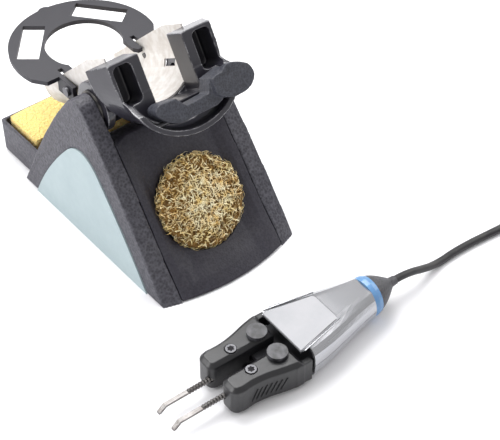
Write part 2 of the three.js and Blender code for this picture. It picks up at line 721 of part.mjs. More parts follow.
const guardFront = BLOCK_REAR_U - GAP;
const guardRear = guardFront - GUARD_LENGTH;
const guardEdge = (u) => GUARD_EDGE_V + Math.min(u, 0) * GUARD_EDGE_FALL;

function makeGuard() {
  const inner = GUARD_RADIUS - GUARD_SHEET;
  const section = new THREE.Shape();
  const rise = 16;
  section.moveTo(GUARD_RADIUS, rise);
  section.lineTo(inner, rise);
  section.absarc(0, 0, inner, 0, Math.PI, true);
  section.lineTo(-inner, rise);
  section.lineTo(-GUARD_RADIUS, rise);
  section.absarc(0, 0, GUARD_RADIUS, Math.PI, 2 * Math.PI, false);
  const trough = alongU(section, guardRear, guardFront, 16).translate(0, GUARD_AXIS_V, 0);
  const clear = 80;
  const cornerEnd = guardRear + GUARD_CORNER_RUN;
  const edgeCut = acrossCradle([V2(guardRear - 1, clear),
    V2(guardRear - 1, guardEdge(guardRear) - GUARD_CORNER_DROP), V2(cornerEnd, guardEdge(cornerEnd)),
    V2(0, guardEdge(0)), V2(guardFront + 1, guardEdge(0)), V2(guardFront + 1, clear)]);
  const slot = box(
    GUARD_RADIUS / 2, GUARD_RADIUS + 2, SLOT_V, SLOT_V + SLOT_WIDTH, SLOT_U, SLOT_U + SLOT_LENGTH,
  );
  const screwBores = lugWorld.map((p) => rod('x', LUG_SCREW_RADIUS + GAP, 8, p.x - 4, p.v, p.u, 12));
  return cut(trough, edgeCut, slot, ...screwBores);
}

// A point at world (y, z) given as (v, u) in the cradle's frame.
function toCradle(y, z) {
  const tilt = rad(CRADLE_TILT_DEG);
  const dy = y - PIVOT_Y;
  const dz = z - PIVOT_HEIGHT;
  return { u: -dy * Math.cos(tilt) + dz * Math.sin(tilt), v: dy * Math.sin(tilt) + dz * Math.cos(tilt) };
}
const lugFrame = toCradle(LUG_Y, LUG_HEIGHT);
const lugWorld = sides.map(({ name, sign }) => ({ name, sign, x: sign * GUARD_RADIUS, ...lugFrame }));
add(cradle, 'tip_guard', makeGuard(), steel);

// ---------- tip magazine ----------

const lugInner = GUARD_RADIUS + 0.8;
const magazineInner = GUARD_RADIUS - MAGAZINE_OVERHANG;
const hookOuter = GUARD_RADIUS - HOOK_INSET;
const hookInner = hookOuter - HOOK_WIDTH;
function makeMagazine() {
  const plate = new THREE.Shape();
  const start = rad(-14);
  plate.moveTo(MAGAZINE_OUTER * Math.cos(start), MAGAZINE_OUTER * Math.sin(start));
  plate.absarc(0, 0, MAGAZINE_OUTER, start, Math.PI - start, false);
  plate.lineTo(-40, -20);
  plate.lineTo(-lugInner, -20);
  plate.lineTo(-lugInner, -HOOK_START);
  plate.lineTo(-hookOuter, -HOOK_START);
  plate.lineTo(-hookOuter, -HOOK_START - HOOK_LENGTH);
  plate.lineTo(-hookInner - 2, -HOOK_START - HOOK_LENGTH);
  plate.lineTo(-hookInner, -HOOK_START - HOOK_LENGTH + 3);
  plate.lineTo(-hookInner, -HOOK_START);
  plate.quadraticCurveTo(-magazineInner, -9, -magazineInner, 0);
  plate.absarc(0, 0, magazineInner, Math.PI, 0, true);
  plate.quadraticCurveTo(magazineInner, -9, hookInner, -HOOK_START);
  plate.lineTo(hookInner, -HOOK_START - HOOK_LENGTH + 3);
  plate.lineTo(hookInner + 2, -HOOK_START - HOOK_LENGTH);
  plate.lineTo(hookOuter, -HOOK_START - HOOK_LENGTH);
  plate.lineTo(hookOuter, -HOOK_START);
  plate.lineTo(lugInner, -HOOK_START);
  plate.lineTo(lugInner, -20);
  plate.lineTo(40, -20);
  const lay = alongZ(plate, MAGAZINE_THICKNESS, MAGAZINE_HEIGHT - MAGAZINE_THICKNESS / 2, 24)
    .translate(0, MAGAZINE_Y, 0);
  const bump = rod('z', GRIP_RADIUS, MAGAZINE_THICKNESS, 0, MAGAZINE_Y + MAGAZINE_OUTER - 3.4,
    MAGAZINE_HEIGHT - MAGAZINE_THICKNESS / 2, 20);
  const lugs = sides.map(({ sign }) => {
    const x0 = sign > 0 ? lugInner : -lugInner - LUG_THICKNESS;
    return box(x0, x0 + LUG_THICKNESS, LUG_Y - LUG_MARGIN, MAGAZINE_Y - 18, LUG_HEIGHT - LUG_MARGIN,
      MAGAZINE_HEIGHT + MAGAZINE_THICKNESS / 2);
  });
  const windows = sides.map(({ sign }) => new THREE.BoxGeometry(WINDOW_LENGTH, WINDOW_WIDTH, 20)
    .translate(0, WINDOW_RADIUS, 0)
    .rotateZ(-sign * rad(WINDOW_ANGLE_DEG))
    .translate(0, MAGAZINE_Y, MAGAZINE_HEIGHT));
  const screwLength = LUG_THICKNESS + 4;
  const bores = sides.map(({ sign }) => rod('x', LUG_SCREW_RADIUS + GAP, screwLength,
    sign * (lugInner + LUG_THICKNESS / 2) - screwLength / 2, LUG_Y, LUG_HEIGHT, 12));
  return cut(join(lay, bump, ...lugs), ...windows, ...bores);
}
add(station, 'tip_magazine', makeMagazine(), finish(0x35353c, 0.6));

for (const { name, sign } of sides) {
  const screw = screwUp(LUG_SCREW_HEAD, 1.6, LUG_SCREW_RADIUS, LUG_THICKNESS + 4);
  screw.rotateY(-Math.PI / 2).translate(lugInner + LUG_THICKNESS + GAP, 0, 0);
  if (sign < 0) screw.rotateZ(Math.PI);
  add(station, `${name}_magazine_screw`, screw.translate(0, LUG_Y, LUG_HEIGHT), steel);
}

// ---------- rest lever ----------

function makeLever() {
  const bar = new THREE.Shape();
  bar.moveTo(-13, -19);
  bar.quadraticCurveTo(-22, -16, -26, -9);
  bar.quadraticCurveTo(-26.4, -4, -20, -4);
  bar.lineTo(-11, -4.8);
  bar.lineTo(-6, -11);
  bar.lineTo(10, -10.6);
  bar.lineTo(13.4, -2.4);
  bar.lineTo(26, 0);
  bar.lineTo(26, -10);
  bar.quadraticCurveTo(21, -17, 13, -19);
  const paddle = new THREE.Shape();
  paddle.moveTo(12.6, -11.5);
  paddle.quadraticCurveTo(16, -16.6, 24, -18.4);
  paddle.lineTo(31, -18.2);
  paddle.quadraticCurveTo(38.5, -17, 41, -11.4);
  paddle.quadraticCurveTo(41.8, -4.2, 36, -1.8);
  paddle.quadraticCurveTo(31, 1.2, 25.8, 1.3);
  paddle.quadraticCurveTo(22.6, 0.8, 21.4, -1.6);
  paddle.quadraticCurveTo(17, -1, 13.4, -3);
  const lever = join(
    alongU(bar, LEVER_REAR_U, CRADLE_LIP_U + 2 * GAP + 0.4, 6),
    alongU(paddle, CRADLE_LIP_U + 2 * GAP, CRADLE_LIP_U + PADDLE_THICKNESS, 6),
  );
  const bore = rod('x', LEVER_PIN_RADIUS + GAP, 80, -40, LEVER_PIN_V, LEVER_PIN_U, 12);
  return cut(lever, bore);
}
add(cradle, 'rest_lever', makeLever(), rubber);
add(cradle, 'lever_pin', rod('x', LEVER_PIN_RADIUS, 2 * (leverPinReach - GAP), -leverPinReach + GAP,
  LEVER_PIN_V, LEVER_PIN_U, 12), steel);

// ---------- handpiece ----------

hand.position.set(HAND_X, HAND_Y, 0);
hand.rotation.z = rad(HAND_TURN_DEG);

const bodyLength = BODY_REAR - BODY_FRONT;
const facetEnd = LABEL_FRONT + LABEL_LENGTH;
const facetAt = (x) => THREE.MathUtils.mapLinear(
  Math.max(x, facetEnd), facetEnd, BODY_REAR, FACET_HEIGHT, FACET_REAR_HEIGHT,
);

// The body's section: a squarish oval in front that turns round towards the cord, flattened on top.
function bodyLoft(x0, x1, inset, steps = 8) {
  const circle = new THREE.Shape().absarc(0, 0, 1, 0, 2 * Math.PI);
  const raw = new THREE.ExtrudeGeometry(circle, { depth: 1, steps, bevelEnabled: false, curveSegments: 16 });
  return moved(raw, (p) => {
    const x = THREE.MathUtils.lerp(x0, x1, p.z);
    const along = THREE.MathUtils.clamp((x - BODY_FRONT) / bodyLength, 0, 1);
    const power = THREE.MathUtils.lerp(0.5, 1, along);
    const half = THREE.MathUtils.lerp(BODY_FRONT_HALF_WIDTH, BODY_REAR_RADIUS, smooth(0, 1.25, along) * 1.12);
    const across = Math.sign(p.x) * Math.abs(p.x) ** power;
    const up = Math.sign(p.y) * Math.abs(p.y) ** power;
    const height = BODY_AXIS_HEIGHT + up * (BODY_AXIS_HEIGHT - inset);
    p.set(x, across * (half - inset), Math.min(height, facetAt(x) - inset));
  });
}

function bodyShell() {
  // The arms' tails swing in the two notches.
  const notches = [-1, 1].map((sign) => {
    const middle = sign * (ARM_TAIL_INNER - TAIL_ROOM + NOTCH_DEPTH / 2);
    return box(BODY_FRONT - 1, ARM_TAIL_REAR + TAIL_ROOM, -NOTCH_DEPTH / 2, NOTCH_DEPTH / 2, -1, 40)
      .translate(0, middle, 0);
  });
  const inside = bodyLoft(BODY_FRONT - 1, BODY_REAR + 1, BODY_WALL);
  return cut(bodyLoft(BODY_FRONT, BODY_REAR, 0), inside, ...notches);
}

function labelShape(grow) {
  const shape = new THREE.Shape();
  const front = LABEL_FRONT - grow;
  const rear = LABEL_FRONT + LABEL_LENGTH + grow;
  const wide = LABEL_FRONT_WIDTH / 2 + grow;
  const narrow = LABEL_REAR_WIDTH / 2 + grow;
  const corner = 3;
  shape.moveTo(front, -wide);
  shape.lineTo(rear - corner, -narrow);
  shape.quadraticCurveTo(rear, -narrow, rear, -narrow + corner);
  shape.lineTo(rear, narrow - corner);
  shape.quadraticCurveTo(rear, narrow, rear - corner, narrow);
  shape.lineTo(front, wide);
  return shape;
}

function makeUpperShell() {
  const above = box(BODY_FRONT - 2, BODY_REAR + 2, -50, 50, BODY_AXIS_HEIGHT + GAP / 2, 60);
  const recess = alongZ(labelShape(GAP), 10, FACET_HEIGHT - LABEL_THICKNESS - GAP);
  return cut(common(bodyShell(), above), recess);
}
function makeLowerShell() {
  const below = box(BODY_FRONT - 2, BODY_REAR + 2, -50, 50, -10, BODY_AXIS_HEIGHT - GAP / 2);
  const ribs = [-1, 1].map((sign) => box(BODY_FRONT + 14, BODY_FRONT + 50, sign * 6 - 1, sign * 6 + 1,
    BODY_WALL - 0.3, FRAME_BOTTOM - 1.4 - GAP));
  return join(common(bodyShell(), below), ...ribs);
}
add(hand, 'upper_body_shell', makeUpperShell(), steel);
add(hand, 'lower_body_shell', makeLowerShell(), steel);
add(hand, 'label_plate', alongZ(labelShape(0), LABEL_THICKNESS, FACET_HEIGHT - LABEL_THICKNESS),
  finish(0xf2f2f2, 0.5));

const boardFront = BODY_FRONT + 16;
add(hand, 'circuit_board', box(boardFront, boardFront + 32, -11, 11, FRAME_BOTTOM - 1.4, FRAME_BOTTOM - GAP),
  finish(0x1f6b3a, 0.5));

const ringFront = BODY_REAR + GAP;
const capFront = ringFront + COLLAR_LENGTH + GAP;
const capRear = capFront + CAP_LENGTH;
const cordRadius = CORD_DIAMETER / 2;

function makeCollar() {
  const r = BODY_REAR_RADIUS;
  return turned([V2(r - 3, 0), V2(r - 0.6, 0), V2(r - 0.1, COLLAR_LENGTH / 2), V2(r - 0.8, COLLAR_LENGTH),
    V2(r - 3, COLLAR_LENGTH), V2(r - 3, 0)], 32).translate(ringFront, 0, BODY_AXIS_HEIGHT);
}
add(hand, 'blue_collar', makeCollar(), finish(0x7fb2e0, 0.35));

function makeCap() {
  const capRadius = BODY_REAR_RADIUS - 1.2;
  const profile = [V2(0, 0), V2(capRadius, 0)];
  const steps = 6;
  for (let i = 1; i <= steps; i += 1) {
    const share = i / steps;
    const shoulder = 1 - share ** 1.35;
    profile.push(V2(CAP_NOSE_RADIUS + (capRadius - CAP_NOSE_RADIUS) * shoulder, CAP_LENGTH * share));
  }
  profile.push(V2(0, CAP_LENGTH));
  return turned(profile, 28).translate(capFront, 0, BODY_AXIS_HEIGHT);
}
add(hand, 'end_cap', makeCap(), rubber);
const reliefRear = capRear + GAP + RELIEF_LENGTH;
add(hand, 'strain_relief', turned([V2(0, 0), V2(RELIEF_RADIUS, 0), V2(cordRadius + 0.4, RELIEF_LENGTH),
  V2(0, RELIEF_LENGTH)], 16).translate(capRear + GAP, 0, BODY_AXIS_HEIGHT), rubber);

// Inner frame that carries both arm pins
function makeFrame() {
  const outline = roundedRect(-7, BODY_FRONT + 14, -FRAME_HALF_WIDTH, FRAME_HALF_WIDTH, 4);
  const plate = alongZ(outline, FRAME_THICKNESS, FRAME_BOTTOM);
  const bores = [-1, 1].map((sign) => rod(
    'z', ARM_PIN_RADIUS + GAP, 10, 0, sign * ARM_PIVOT_Y, FRAME_BOTTOM - 3, 16,
  ));
  return cut(plate, ...bores);
}
add(hand, 'pivot_frame', makeFrame(), steel);

function armOutline() {
  const shape = new THREE.Shape();
  const r = ARM_CORNER;
  shape.moveTo(ARM_FRONT + r, ARM_GAP);
  shape.lineTo(ARM_REAR, ARM_GAP);
  shape.lineTo(ARM_REAR, 23.5);
  shape.quadraticCurveTo(2, 23, -6, 20.8);
  shape.quadraticCurveTo(-18, 17.4, -26, 18.2);
  shape.quadraticCurveTo(-30, 18.8, ARM_FRONT + r, 18);
  shape.absarc(ARM_FRONT + r, 18 - r, r, Math.PI / 2, Math.PI);
  shape.lineTo(ARM_FRONT, ARM_GAP + r);
  shape.absarc(ARM_FRONT + r, ARM_GAP + r, r, Math.PI, 1.5 * Math.PI);
  return shape;
}

// The pockets leave the spring room as the arms swing round it.
const springPocket = SPRING_RADIUS + SPRING_WIRE + 3 * GAP;

function makeArm(sign) {
  const grip = new THREE.ExtrudeGeometry(armOutline(), {
    depth: ARM_TOP - ARM_BOTTOM - 2 * ARM_BEVEL,
    curveSegments: 5,
    bevelEnabled: true,
    bevelSize: ARM_BEVEL,
    bevelOffset: -ARM_BEVEL,
    bevelThickness: ARM_BEVEL,
    bevelSegments: 1,
  }).translate(0, 0, ARM_BOTTOM + ARM_BEVEL);
  const tail = box(ARM_REAR - 2 * ARM_BEVEL, ARM_TAIL_REAR, ARM_TAIL_INNER, ARM_TAIL_OUTER,
    ARM_BOTTOM + ARM_BEVEL, ARM_TOP - ARM_BEVEL);
  const block = join(grip, tail);
  const tools = [
    rod('z', ARM_PIN_RADIUS + RUN, 40, 0, ARM_PIVOT_Y, -5, 16),
    rod('z', SCREW_RADIUS + GAP, 20, ARM_SCREW_X, ARM_SCREW_Y, TIP_HEIGHT, 12),
    rod('z', ARM_SCREW_HEAD + GAP, 4, ARM_SCREW_X, ARM_SCREW_Y, ARM_TOP - 1, 16),
    rod('x', SLEEVE_RADIUS + GAP, 20, ARM_FRONT - 8, TIP_Y, TIP_HEIGHT, 16),
    rod('y', springPocket, 8, SPRING_X, SPRING_LENGTH / 2 + 1.4 - 8, SPRING_HEIGHT, 12),
    box(-9, ARM_TAIL_REAR + 1, -1, FRAME_HALF_WIDTH + 3 * RUN, FRAME_BOTTOM - RUN,
      FRAME_BOTTOM + FRAME_THICKNESS + RUN),
  ];
  const arm = cut(block, ...tools);
  return sign > 0 ? arm : mirrored(arm);
}

// Mirrors a piece across the handpiece's middle plane and turns its faces out again.
function mirrored(geometry) {
  const flipped = moved(geometry, (p) => { p.y = -p.y; });
  const index = flipped.index.array;
  for (let i = 0; i < index.length; i += 3) [index[i], index[i + 1]] = [index[i + 1], index[i]];
  return flipped;
}

function makeSleeve() {
  const profile = [V2(0, 0)];
  const pitch = (SLEEVE_REAR - SLEEVE_FRONT) / (2 * SLEEVE_RINGS);
  for (let i = 0; i <= 2 * SLEEVE_RINGS; i += 1) {
    profile.push(V2(i % 2 === 0 ? SLEEVE_RADIUS - 0.45 : SLEEVE_RADIUS, i * pitch));
  }
  profile.push(V2(0, 2 * SLEEVE_RINGS * pitch));
  return turned(profile, 12);
}

// A flat blade that narrows and bends down to its working end.
function makeBlade() {
  const root = SLEEVE_FRONT - GAP;
  const shape = new THREE.Shape();
  const half = BLADE_THICKNESS / 2;
  shape.moveTo(root, half);
  shape.lineTo(BLADE_FRONT + 4.6, half);
  shape.lineTo(BLADE_FRONT + 0.4, -2.6);
  shape.lineTo(BLADE_FRONT, -3.8);
  shape.lineTo(BLADE_FRONT + 1.5, -3.8);
  shape.lineTo(BLADE_FRONT + 5.2, -half);
  shape.lineTo(root, -half);
  const plate = new THREE.ExtrudeGeometry(shape, { depth: BLADE_WIDTH, bevelEnabled: false });
  return plate.rotateX(Math.PI / 2).translate(0, BLADE_WIDTH / 2, 0);
}

for (const { name, sign } of sides) {
  // Seen along +X towards the cord, the left arm is on +Y.
  const hold = -sign;
  add(hand, `${name}_grip_arm`, makeArm(hold), rubber);
  const pin = join(
    rod('z', ARM_PIN_RADIUS, ARM_TOP + GAP - 1, 0, 0, 1, 16),
    rod('z', ARM_CAP_RADIUS, ARM_CAP_HEIGHT, 0, 0, ARM_TOP + GAP - 0.1, 24),
  );
  add(hand, `${name}_arm_pivot`, pin.translate(0, hold * ARM_PIVOT_Y, 0), rubber);
  const screw = screwUp(ARM_SCREW_HEAD, 1.1, SCREW_RADIUS, 8).rotateX(Math.PI);
  screw.translate(ARM_SCREW_X, hold * ARM_SCREW_Y, ARM_TOP - 1 + GAP);
  add(hand, `${name}_clamp_screw`, screw, steel);
  add(hand, `${name}_tip_sleeve`, makeSleeve().translate(SLEEVE_FRONT, hold * TIP_Y, TIP_HEIGHT), steel);
  add(hand, `${name}_tip_blade`, makeBlade().translate(0, hold * TIP_Y, TIP_HEIGHT), steel);
}

function makeSpring() {
  class Helix extends THREE.Curve {
    getPoint(t, target = new THREE.Vector3()) {
      const turn = t * SPRING_TURNS * 2 * Math.PI;
      const along = (t - 0.5) * SPRING_LENGTH;
      return target.set(SPRING_RADIUS * Math.cos(turn), along, SPRING_RADIUS * Math.sin(turn));
    }
  }
  const wire = new THREE.Shape().absarc(0, 0, SPRING_WIRE, 0, 2 * Math.PI);
  return new THREE.ExtrudeGeometry(wire, {
    steps: SPRING_TURNS * 9, extrudePath: new Helix(), curveSegments: 3, bevelEnabled: false,
  });
}
add(hand, 'arm_spring', makeSpring().translate(SPRING_X, 0, SPRING_HEIGHT), steel);

// ---------- cord, coil and plug ----------

function handPoint(x, y, z) {
  const turn = rad(HAND_TURN_DEG);
  return V3(x, y, z).applyAxisAngle(V3(0, 0, 1), turn).add(V3(HAND_X, HAND_Y, 0));
}
const rest = cordRadius + BENCH_GAP;
const cordStart = handPoint(reliefRear + GAP, 0, BODY_AXIS_HEIGHT);
const coilOuter = COIL_MEAN_RADIUS + (COIL_ROWS / 2) * CORD_DIAMETER;
const outerTurn = coilOuter - cordRadius;
// Where a cord beside the outer turn's centre line comes clear of the coil's outside.
const coilClear = Math.sqrt(coilOuter ** 2 - (outerTurn - cordRadius) ** 2) + GAP + 0.4;
const coilHeight = COIL_LAYERS * CORD_DIAMETER;
const plugAxis = PLUG_RADIUS + BENCH_GAP;

// The cord leaves the relief straight, sinks to the bench and runs on to the coil's outer turn.
const cordRoute = [
  cordStart,
  handPoint(reliefRear + 5, 0, BODY_AXIS_HEIGHT - 0.2),
  V3(77, -154.8, 11.3),
  V3(86, -154.7, 7.9),
  V3(95, -154.2, 4.5),
  V3(104.5, -153.6, rest),
  V3(116, -153.4, rest),
  V3(128, -153.9, rest),
  V3(141, -155.2, rest),
  V3(154, -156.6, rest),
  V3(COIL_X - coilClear, COIL_Y + outerTurn, rest),
];
const tailRoute = [
  V3(COIL_X + outerTurn, COIL_Y - coilClear, coilHeight - cordRadius),
  V3(COIL_X + outerTurn, COIL_Y - coilClear - 7, (coilHeight - cordRadius + plugAxis) / 2),
  V3(COIL_X + outerTurn, COIL_Y - coilClear - 14, plugAxis),
];

// A round cord along a smooth curve through chosen points.
function cordTube(points, steps) {
  const section = new THREE.Shape().absarc(0, 0, cordRadius, 0, 2 * Math.PI);
  return new THREE.ExtrudeGeometry(section, {
    steps, extrudePath: new THREE.CatmullRomCurve3(points), curveSegments: 5, bevelEnabled: false,
  });
}
const cordFinish = finish(0x2b2b2f, 0.6);
add(station, 'cord_run', cordTube(cordRoute, 16), cordFinish);
add(station, 'cord_tail', cordTube(tailRoute, 4), cordFinish);

// The put-away length as one ring, and the strap that holds its turns together
function makeCoil() {
  const low = BENCH_GAP;
  const inner = COIL_MEAN_RADIUS - (COIL_ROWS / 2) * CORD_DIAMETER;
  const profile = [V2(inner, low), V2(coilOuter, low), V2(coilOuter, low + coilHeight),
    V2(inner, low + coilHeight), V2(inner, low)];
  return new THREE.LatheGeometry(profile, 40).rotateX(Math.PI / 2).translate(COIL_X, COIL_Y, 0);
}
add(station, 'cord_coil', makeCoil(), cordFinish);

function makeTie() {
  const half = (COIL_ROWS * CORD_DIAMETER) / 2 + 2 * GAP;
  const top = coilHeight + BENCH_GAP + GAP;
  const strap = box(-half - TIE_THICKNESS, half + TIE_THICKNESS, -TIE_WIDTH / 2, TIE_WIDTH / 2,
    BENCH_GAP / 2, top + TIE_THICKNESS);
  const room = box(-half, half, -TIE_WIDTH, TIE_WIDTH, -1, top);
  return cut(strap, room)
    .translate(COIL_MEAN_RADIUS, 0, 0)
    .rotateZ(rad(TIE_TURN_DEG))
    .translate(COIL_X, COIL_Y, 0);
}
add(station, 'coil_tie', makeTie(), rubber);

// The round plug lies beside the coil, at the end of the cord's tail.
const plugX = COIL_X + outerTurn;
const plugY = tailRoute[tailRoute.length - 1].y - GAP;
const towardsPlug = (geometry, start) => geometry
  .rotateZ(-Math.PI / 2)
  .translate(plugX, plugY - start, plugAxis);
function makePlugShell() {
  const r = PLUG_RADIUS - 1;
  const neck = cordRadius + 1.6;
  return turned([V2(0, 0), V2(cordRadius + 1, 0), V2(neck, PLUG_NECK), V2(r, PLUG_NECK + 3),
    V2(r, PLUG_SHELL_LENGTH), V2(0, PLUG_SHELL_LENGTH)], 20);
}
function makePlugRing() {
  const r = PLUG_RADIUS;
  const bore = r - PLUG_RING_WALL;
  return turned([V2(bore, 0), V2(r, 0), V2(r, PLUG_RING_LENGTH), V2(bore, PLUG_RING_LENGTH),
    V2(bore, 0)], 20);
}
function makePlugInsert() {
  const r = PLUG_RADIUS - PLUG_RING_WALL - GAP;
  return turned([V2(0, 0), V2(r, 0), V2(r, PLUG_INSERT_LENGTH), V2(0, PLUG_INSERT_LENGTH)], 16);
}
const ringStart = PLUG_SHELL_LENGTH + GAP;
add(station, 'plug_shell', towardsPlug(makePlugShell(), 0), finish(0x3a3a3d, 0.4));
add(station, 'plug_ring', towardsPlug(makePlugRing(), ringStart), steel);
add(station, 'plug_insert', towardsPlug(makePlugInsert(), ringStart), rubber);

export default station;
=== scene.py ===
"""Soldering rest with a hot-tweezer handpiece: its studio, finishes, cord and detailed pieces."""
import json
import math
import random

import bmesh
import bpy
from mathutils import Matrix, Vector
from mathutils.bvhtree import BVHTree


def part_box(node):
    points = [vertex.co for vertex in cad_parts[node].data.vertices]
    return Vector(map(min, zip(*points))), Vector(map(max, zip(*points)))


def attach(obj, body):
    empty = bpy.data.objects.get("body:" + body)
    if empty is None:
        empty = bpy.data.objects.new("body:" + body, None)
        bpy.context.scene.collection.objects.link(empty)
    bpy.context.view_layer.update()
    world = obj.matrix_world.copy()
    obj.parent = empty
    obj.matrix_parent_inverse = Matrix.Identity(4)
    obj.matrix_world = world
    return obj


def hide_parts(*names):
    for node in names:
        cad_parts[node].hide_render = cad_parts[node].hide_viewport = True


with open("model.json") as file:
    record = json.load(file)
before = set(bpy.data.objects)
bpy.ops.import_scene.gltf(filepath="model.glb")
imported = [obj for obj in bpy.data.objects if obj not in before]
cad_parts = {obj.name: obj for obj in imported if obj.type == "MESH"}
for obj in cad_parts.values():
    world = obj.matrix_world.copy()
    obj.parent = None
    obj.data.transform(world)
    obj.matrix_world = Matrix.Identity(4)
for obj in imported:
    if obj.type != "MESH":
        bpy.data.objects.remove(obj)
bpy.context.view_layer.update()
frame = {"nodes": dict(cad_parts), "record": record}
MM = 0.001

# ---------- camera ----------

CAMERA_PLACE = Vector((-357.66, -534.32, 591.82)) * MM
CAMERA_TARGET = Vector((38.09, -48.87, 0.0)) * MM


def place_camera():
    data = bpy.data.cameras.new("bench_camera")
    data.lens = 97.2
    data.sensor_width = 36.0
    data.clip_start = 0.01
    data.clip_end = 20.0
    camera = bpy.data.objects.new("bench_camera", data)
    bpy.context.scene.collection.objects.link(camera)
    camera.location = CAMERA_PLACE
    camera.rotation_euler = (CAMERA_TARGET - CAMERA_PLACE).to_track_quat("-Z", "Y").to_euler()
    bpy.context.scene.camera = camera


place_camera()

# ---------- sizes shared with the model, in millimetres ----------

CORD_DIAMETER = 4.8
COIL_CENTRE = Vector((184.0, -191.0))
COIL_ROWS = 4
COIL_MEAN_RADIUS = 26.4
HAND_PLACE = Vector((-32.9, -151.0, 0.0))
HAND_TURN = math.radians(-2.0)
RELIEF_REAR = 96.5
RELIEF_AXIS_HEIGHT = 13.1
PLUG_AXIS_HEIGHT = 7.6
COIL_TURNS = 8.25
POINTS_A_TURN = 14
FACET_HEIGHT = 25.2
CRADLE_PIVOT = Vector((0.0, 8.0, 93.5))
CRADLE_TILT = math.radians(31.5)
CUP_SLOPE = math.radians(57.0)

HAND = Matrix.Translation(HAND_PLACE) @ Matrix.Rotation(HAND_TURN, 4, "Z")
CRADLE = Matrix.Translation(CRADLE_PIVOT) @ Matrix.Rotation(math.pi / 2 - CRADLE_TILT, 4, "X")


def from_hand(x, y, z):
    return HAND @ Vector((x, y, z))


def smooth_step(low, high, value):
    share = min(max((value - low) / (high - low), 0.0), 1.0)
    return share * share * (3.0 - 2.0 * share)


def mix(a, b, share):
    return a + (b - a) * share


# ---------- shader node groups ----------

GROUPS = {}


def start_group(name, inputs, outputs):
    """A new node group with its sockets; inputs are (name, value) pairs."""
    group = bpy.data.node_groups.new(name, "ShaderNodeTree")
    for label, value in inputs:
        socket = group.interface.new_socket(label, in_out="INPUT", socket_type="NodeSocketFloat")
        socket.default_value = value
    for label in outputs:
        group.interface.new_socket(label, in_out="OUTPUT", socket_type="NodeSocketFloat")
    entry = group.nodes.new("NodeGroupInput")
    leave = group.nodes.new("NodeGroupOutput")
    GROUPS[name] = group
    return group, entry.outputs, leave.inputs


def node(tree, kind, links=None, **settings):
    """Adds a node, sets its properties and links or fills its inputs by name or number."""
    made = tree.nodes.new(kind)
    for key, value in settings.items():
        setattr(made, key, value)
    for key, value in (links or {}).items():
        socket = made.inputs[key]
        if isinstance(value, bpy.types.NodeSocket):
            tree.links.new(value, socket)
        else:
            socket.default_value = value
    return made.outputs


def maths(tree, operation, a, b=0.0, clamp=False):
    return node(tree, "ShaderNodeMath", {0: a, 1: b}, operation=operation, use_clamp=clamp)[0]


def ramp(tree, value, low, high):
    """0 below low, 1 above high."""
    return node(
        tree, "ShaderNodeMapRange",
        {"Value": value, "From Min": low, "From Max": high, "To Min": 0.0, "To Max": 1.0},
    )["Result"]


def place_of(tree):
    return node(tree, "ShaderNodeTexCoord")["Object"]


def build_tone_group():
    """Slow cloudy change of tone, as every moulding and coating has."""
    tree, given, out = start_group("cloudy_tone", [("Scale", 40.0)], ["Tone"])
    place = place_of(tree)
    broad = node(tree, "ShaderNodeTexNoise", {"Vector": place, "Scale": given["Scale"], "Detail": 3.0})[0]
    finer = maths(tree, "MULTIPLY", given["Scale"], 6.3)
    small = node(tree, "ShaderNodeTexNoise", {"Vector": place, "Scale": finer, "Detail": 4.0})[0]
    both = maths(tree, "ADD", maths(tree, "MULTIPLY", broad, 0.65), maths(tree, "MULTIPLY", small, 0.35))
    tree.links.new(ramp(tree, both, 0.36, 0.64), out["Tone"])


def build_grain_group():
    """Spark-eroded mould texture: small rounded pits of mixed size."""
    tree, given, out = start_group("mould_grain", [("Scale", 900.0)], ["Height", "Pits"])
    place = place_of(tree)
    cells = node(tree, "ShaderNodeTexVoronoi", {"Vector": place, "Scale": given["Scale"]})["Distance"]
    coarse = maths(tree, "MULTIPLY", given["Scale"], 0.55)
    noise = node(tree, "ShaderNodeTexNoise", {"Vector": place, "Scale": coarse, "Detail": 5.0})[0]
    height = maths(tree, "ADD", maths(tree, "MULTIPLY", cells, 0.6), maths(tree, "MULTIPLY", noise, 0.8))
    tree.links.new(height, out["Height"])
    tree.links.new(ramp(tree, height, 0.45, 0.95), out["Pits"])


def build_wear_and_highlight_group():
    """Rubbed edges and painted edge highlight: where the surface is convex, broken up by noise."""
    tree, given, out = start_group("rubbed_edge_and_highlight", [("Amount", 0.5)], ["Mask"])
    point = node(tree, "ShaderNodeNewGeometry")["Pointiness"]
    place = place_of(tree)
    patches = node(tree, "ShaderNodeTexNoise", {"Vector": place, "Scale": 210.0, "Detail": 6.0})[0]
    edge = ramp(tree, point, 0.52, 0.6)
    broken = maths(tree, "MULTIPLY", edge, ramp(tree, patches, 0.38, 0.62))
    tree.links.new(maths(tree, "MULTIPLY", broken, given["Amount"], clamp=True), out["Mask"])


def build_dust_group():
    """Fine dust on faces that look up, thicker in patches."""
    tree, given, out = start_group("settled_dust", [("Amount", 0.3)], ["Mask"])
    normal = node(tree, "ShaderNodeNewGeometry")["Normal"]
    up = node(tree, "ShaderNodeSeparateXYZ", {0: normal})["Z"]
    place = place_of(tree)
    patches = node(tree, "ShaderNodeTexNoise", {"Vector": place, "Scale": 55.0, "Detail": 7.0})[0]
    lying = maths(tree, "MULTIPLY", ramp(tree, up, 0.25, 0.95), ramp(tree, patches, 0.42, 0.7))
    tree.links.new(maths(tree, "MULTIPLY", lying, given["Amount"], clamp=True), out["Mask"])


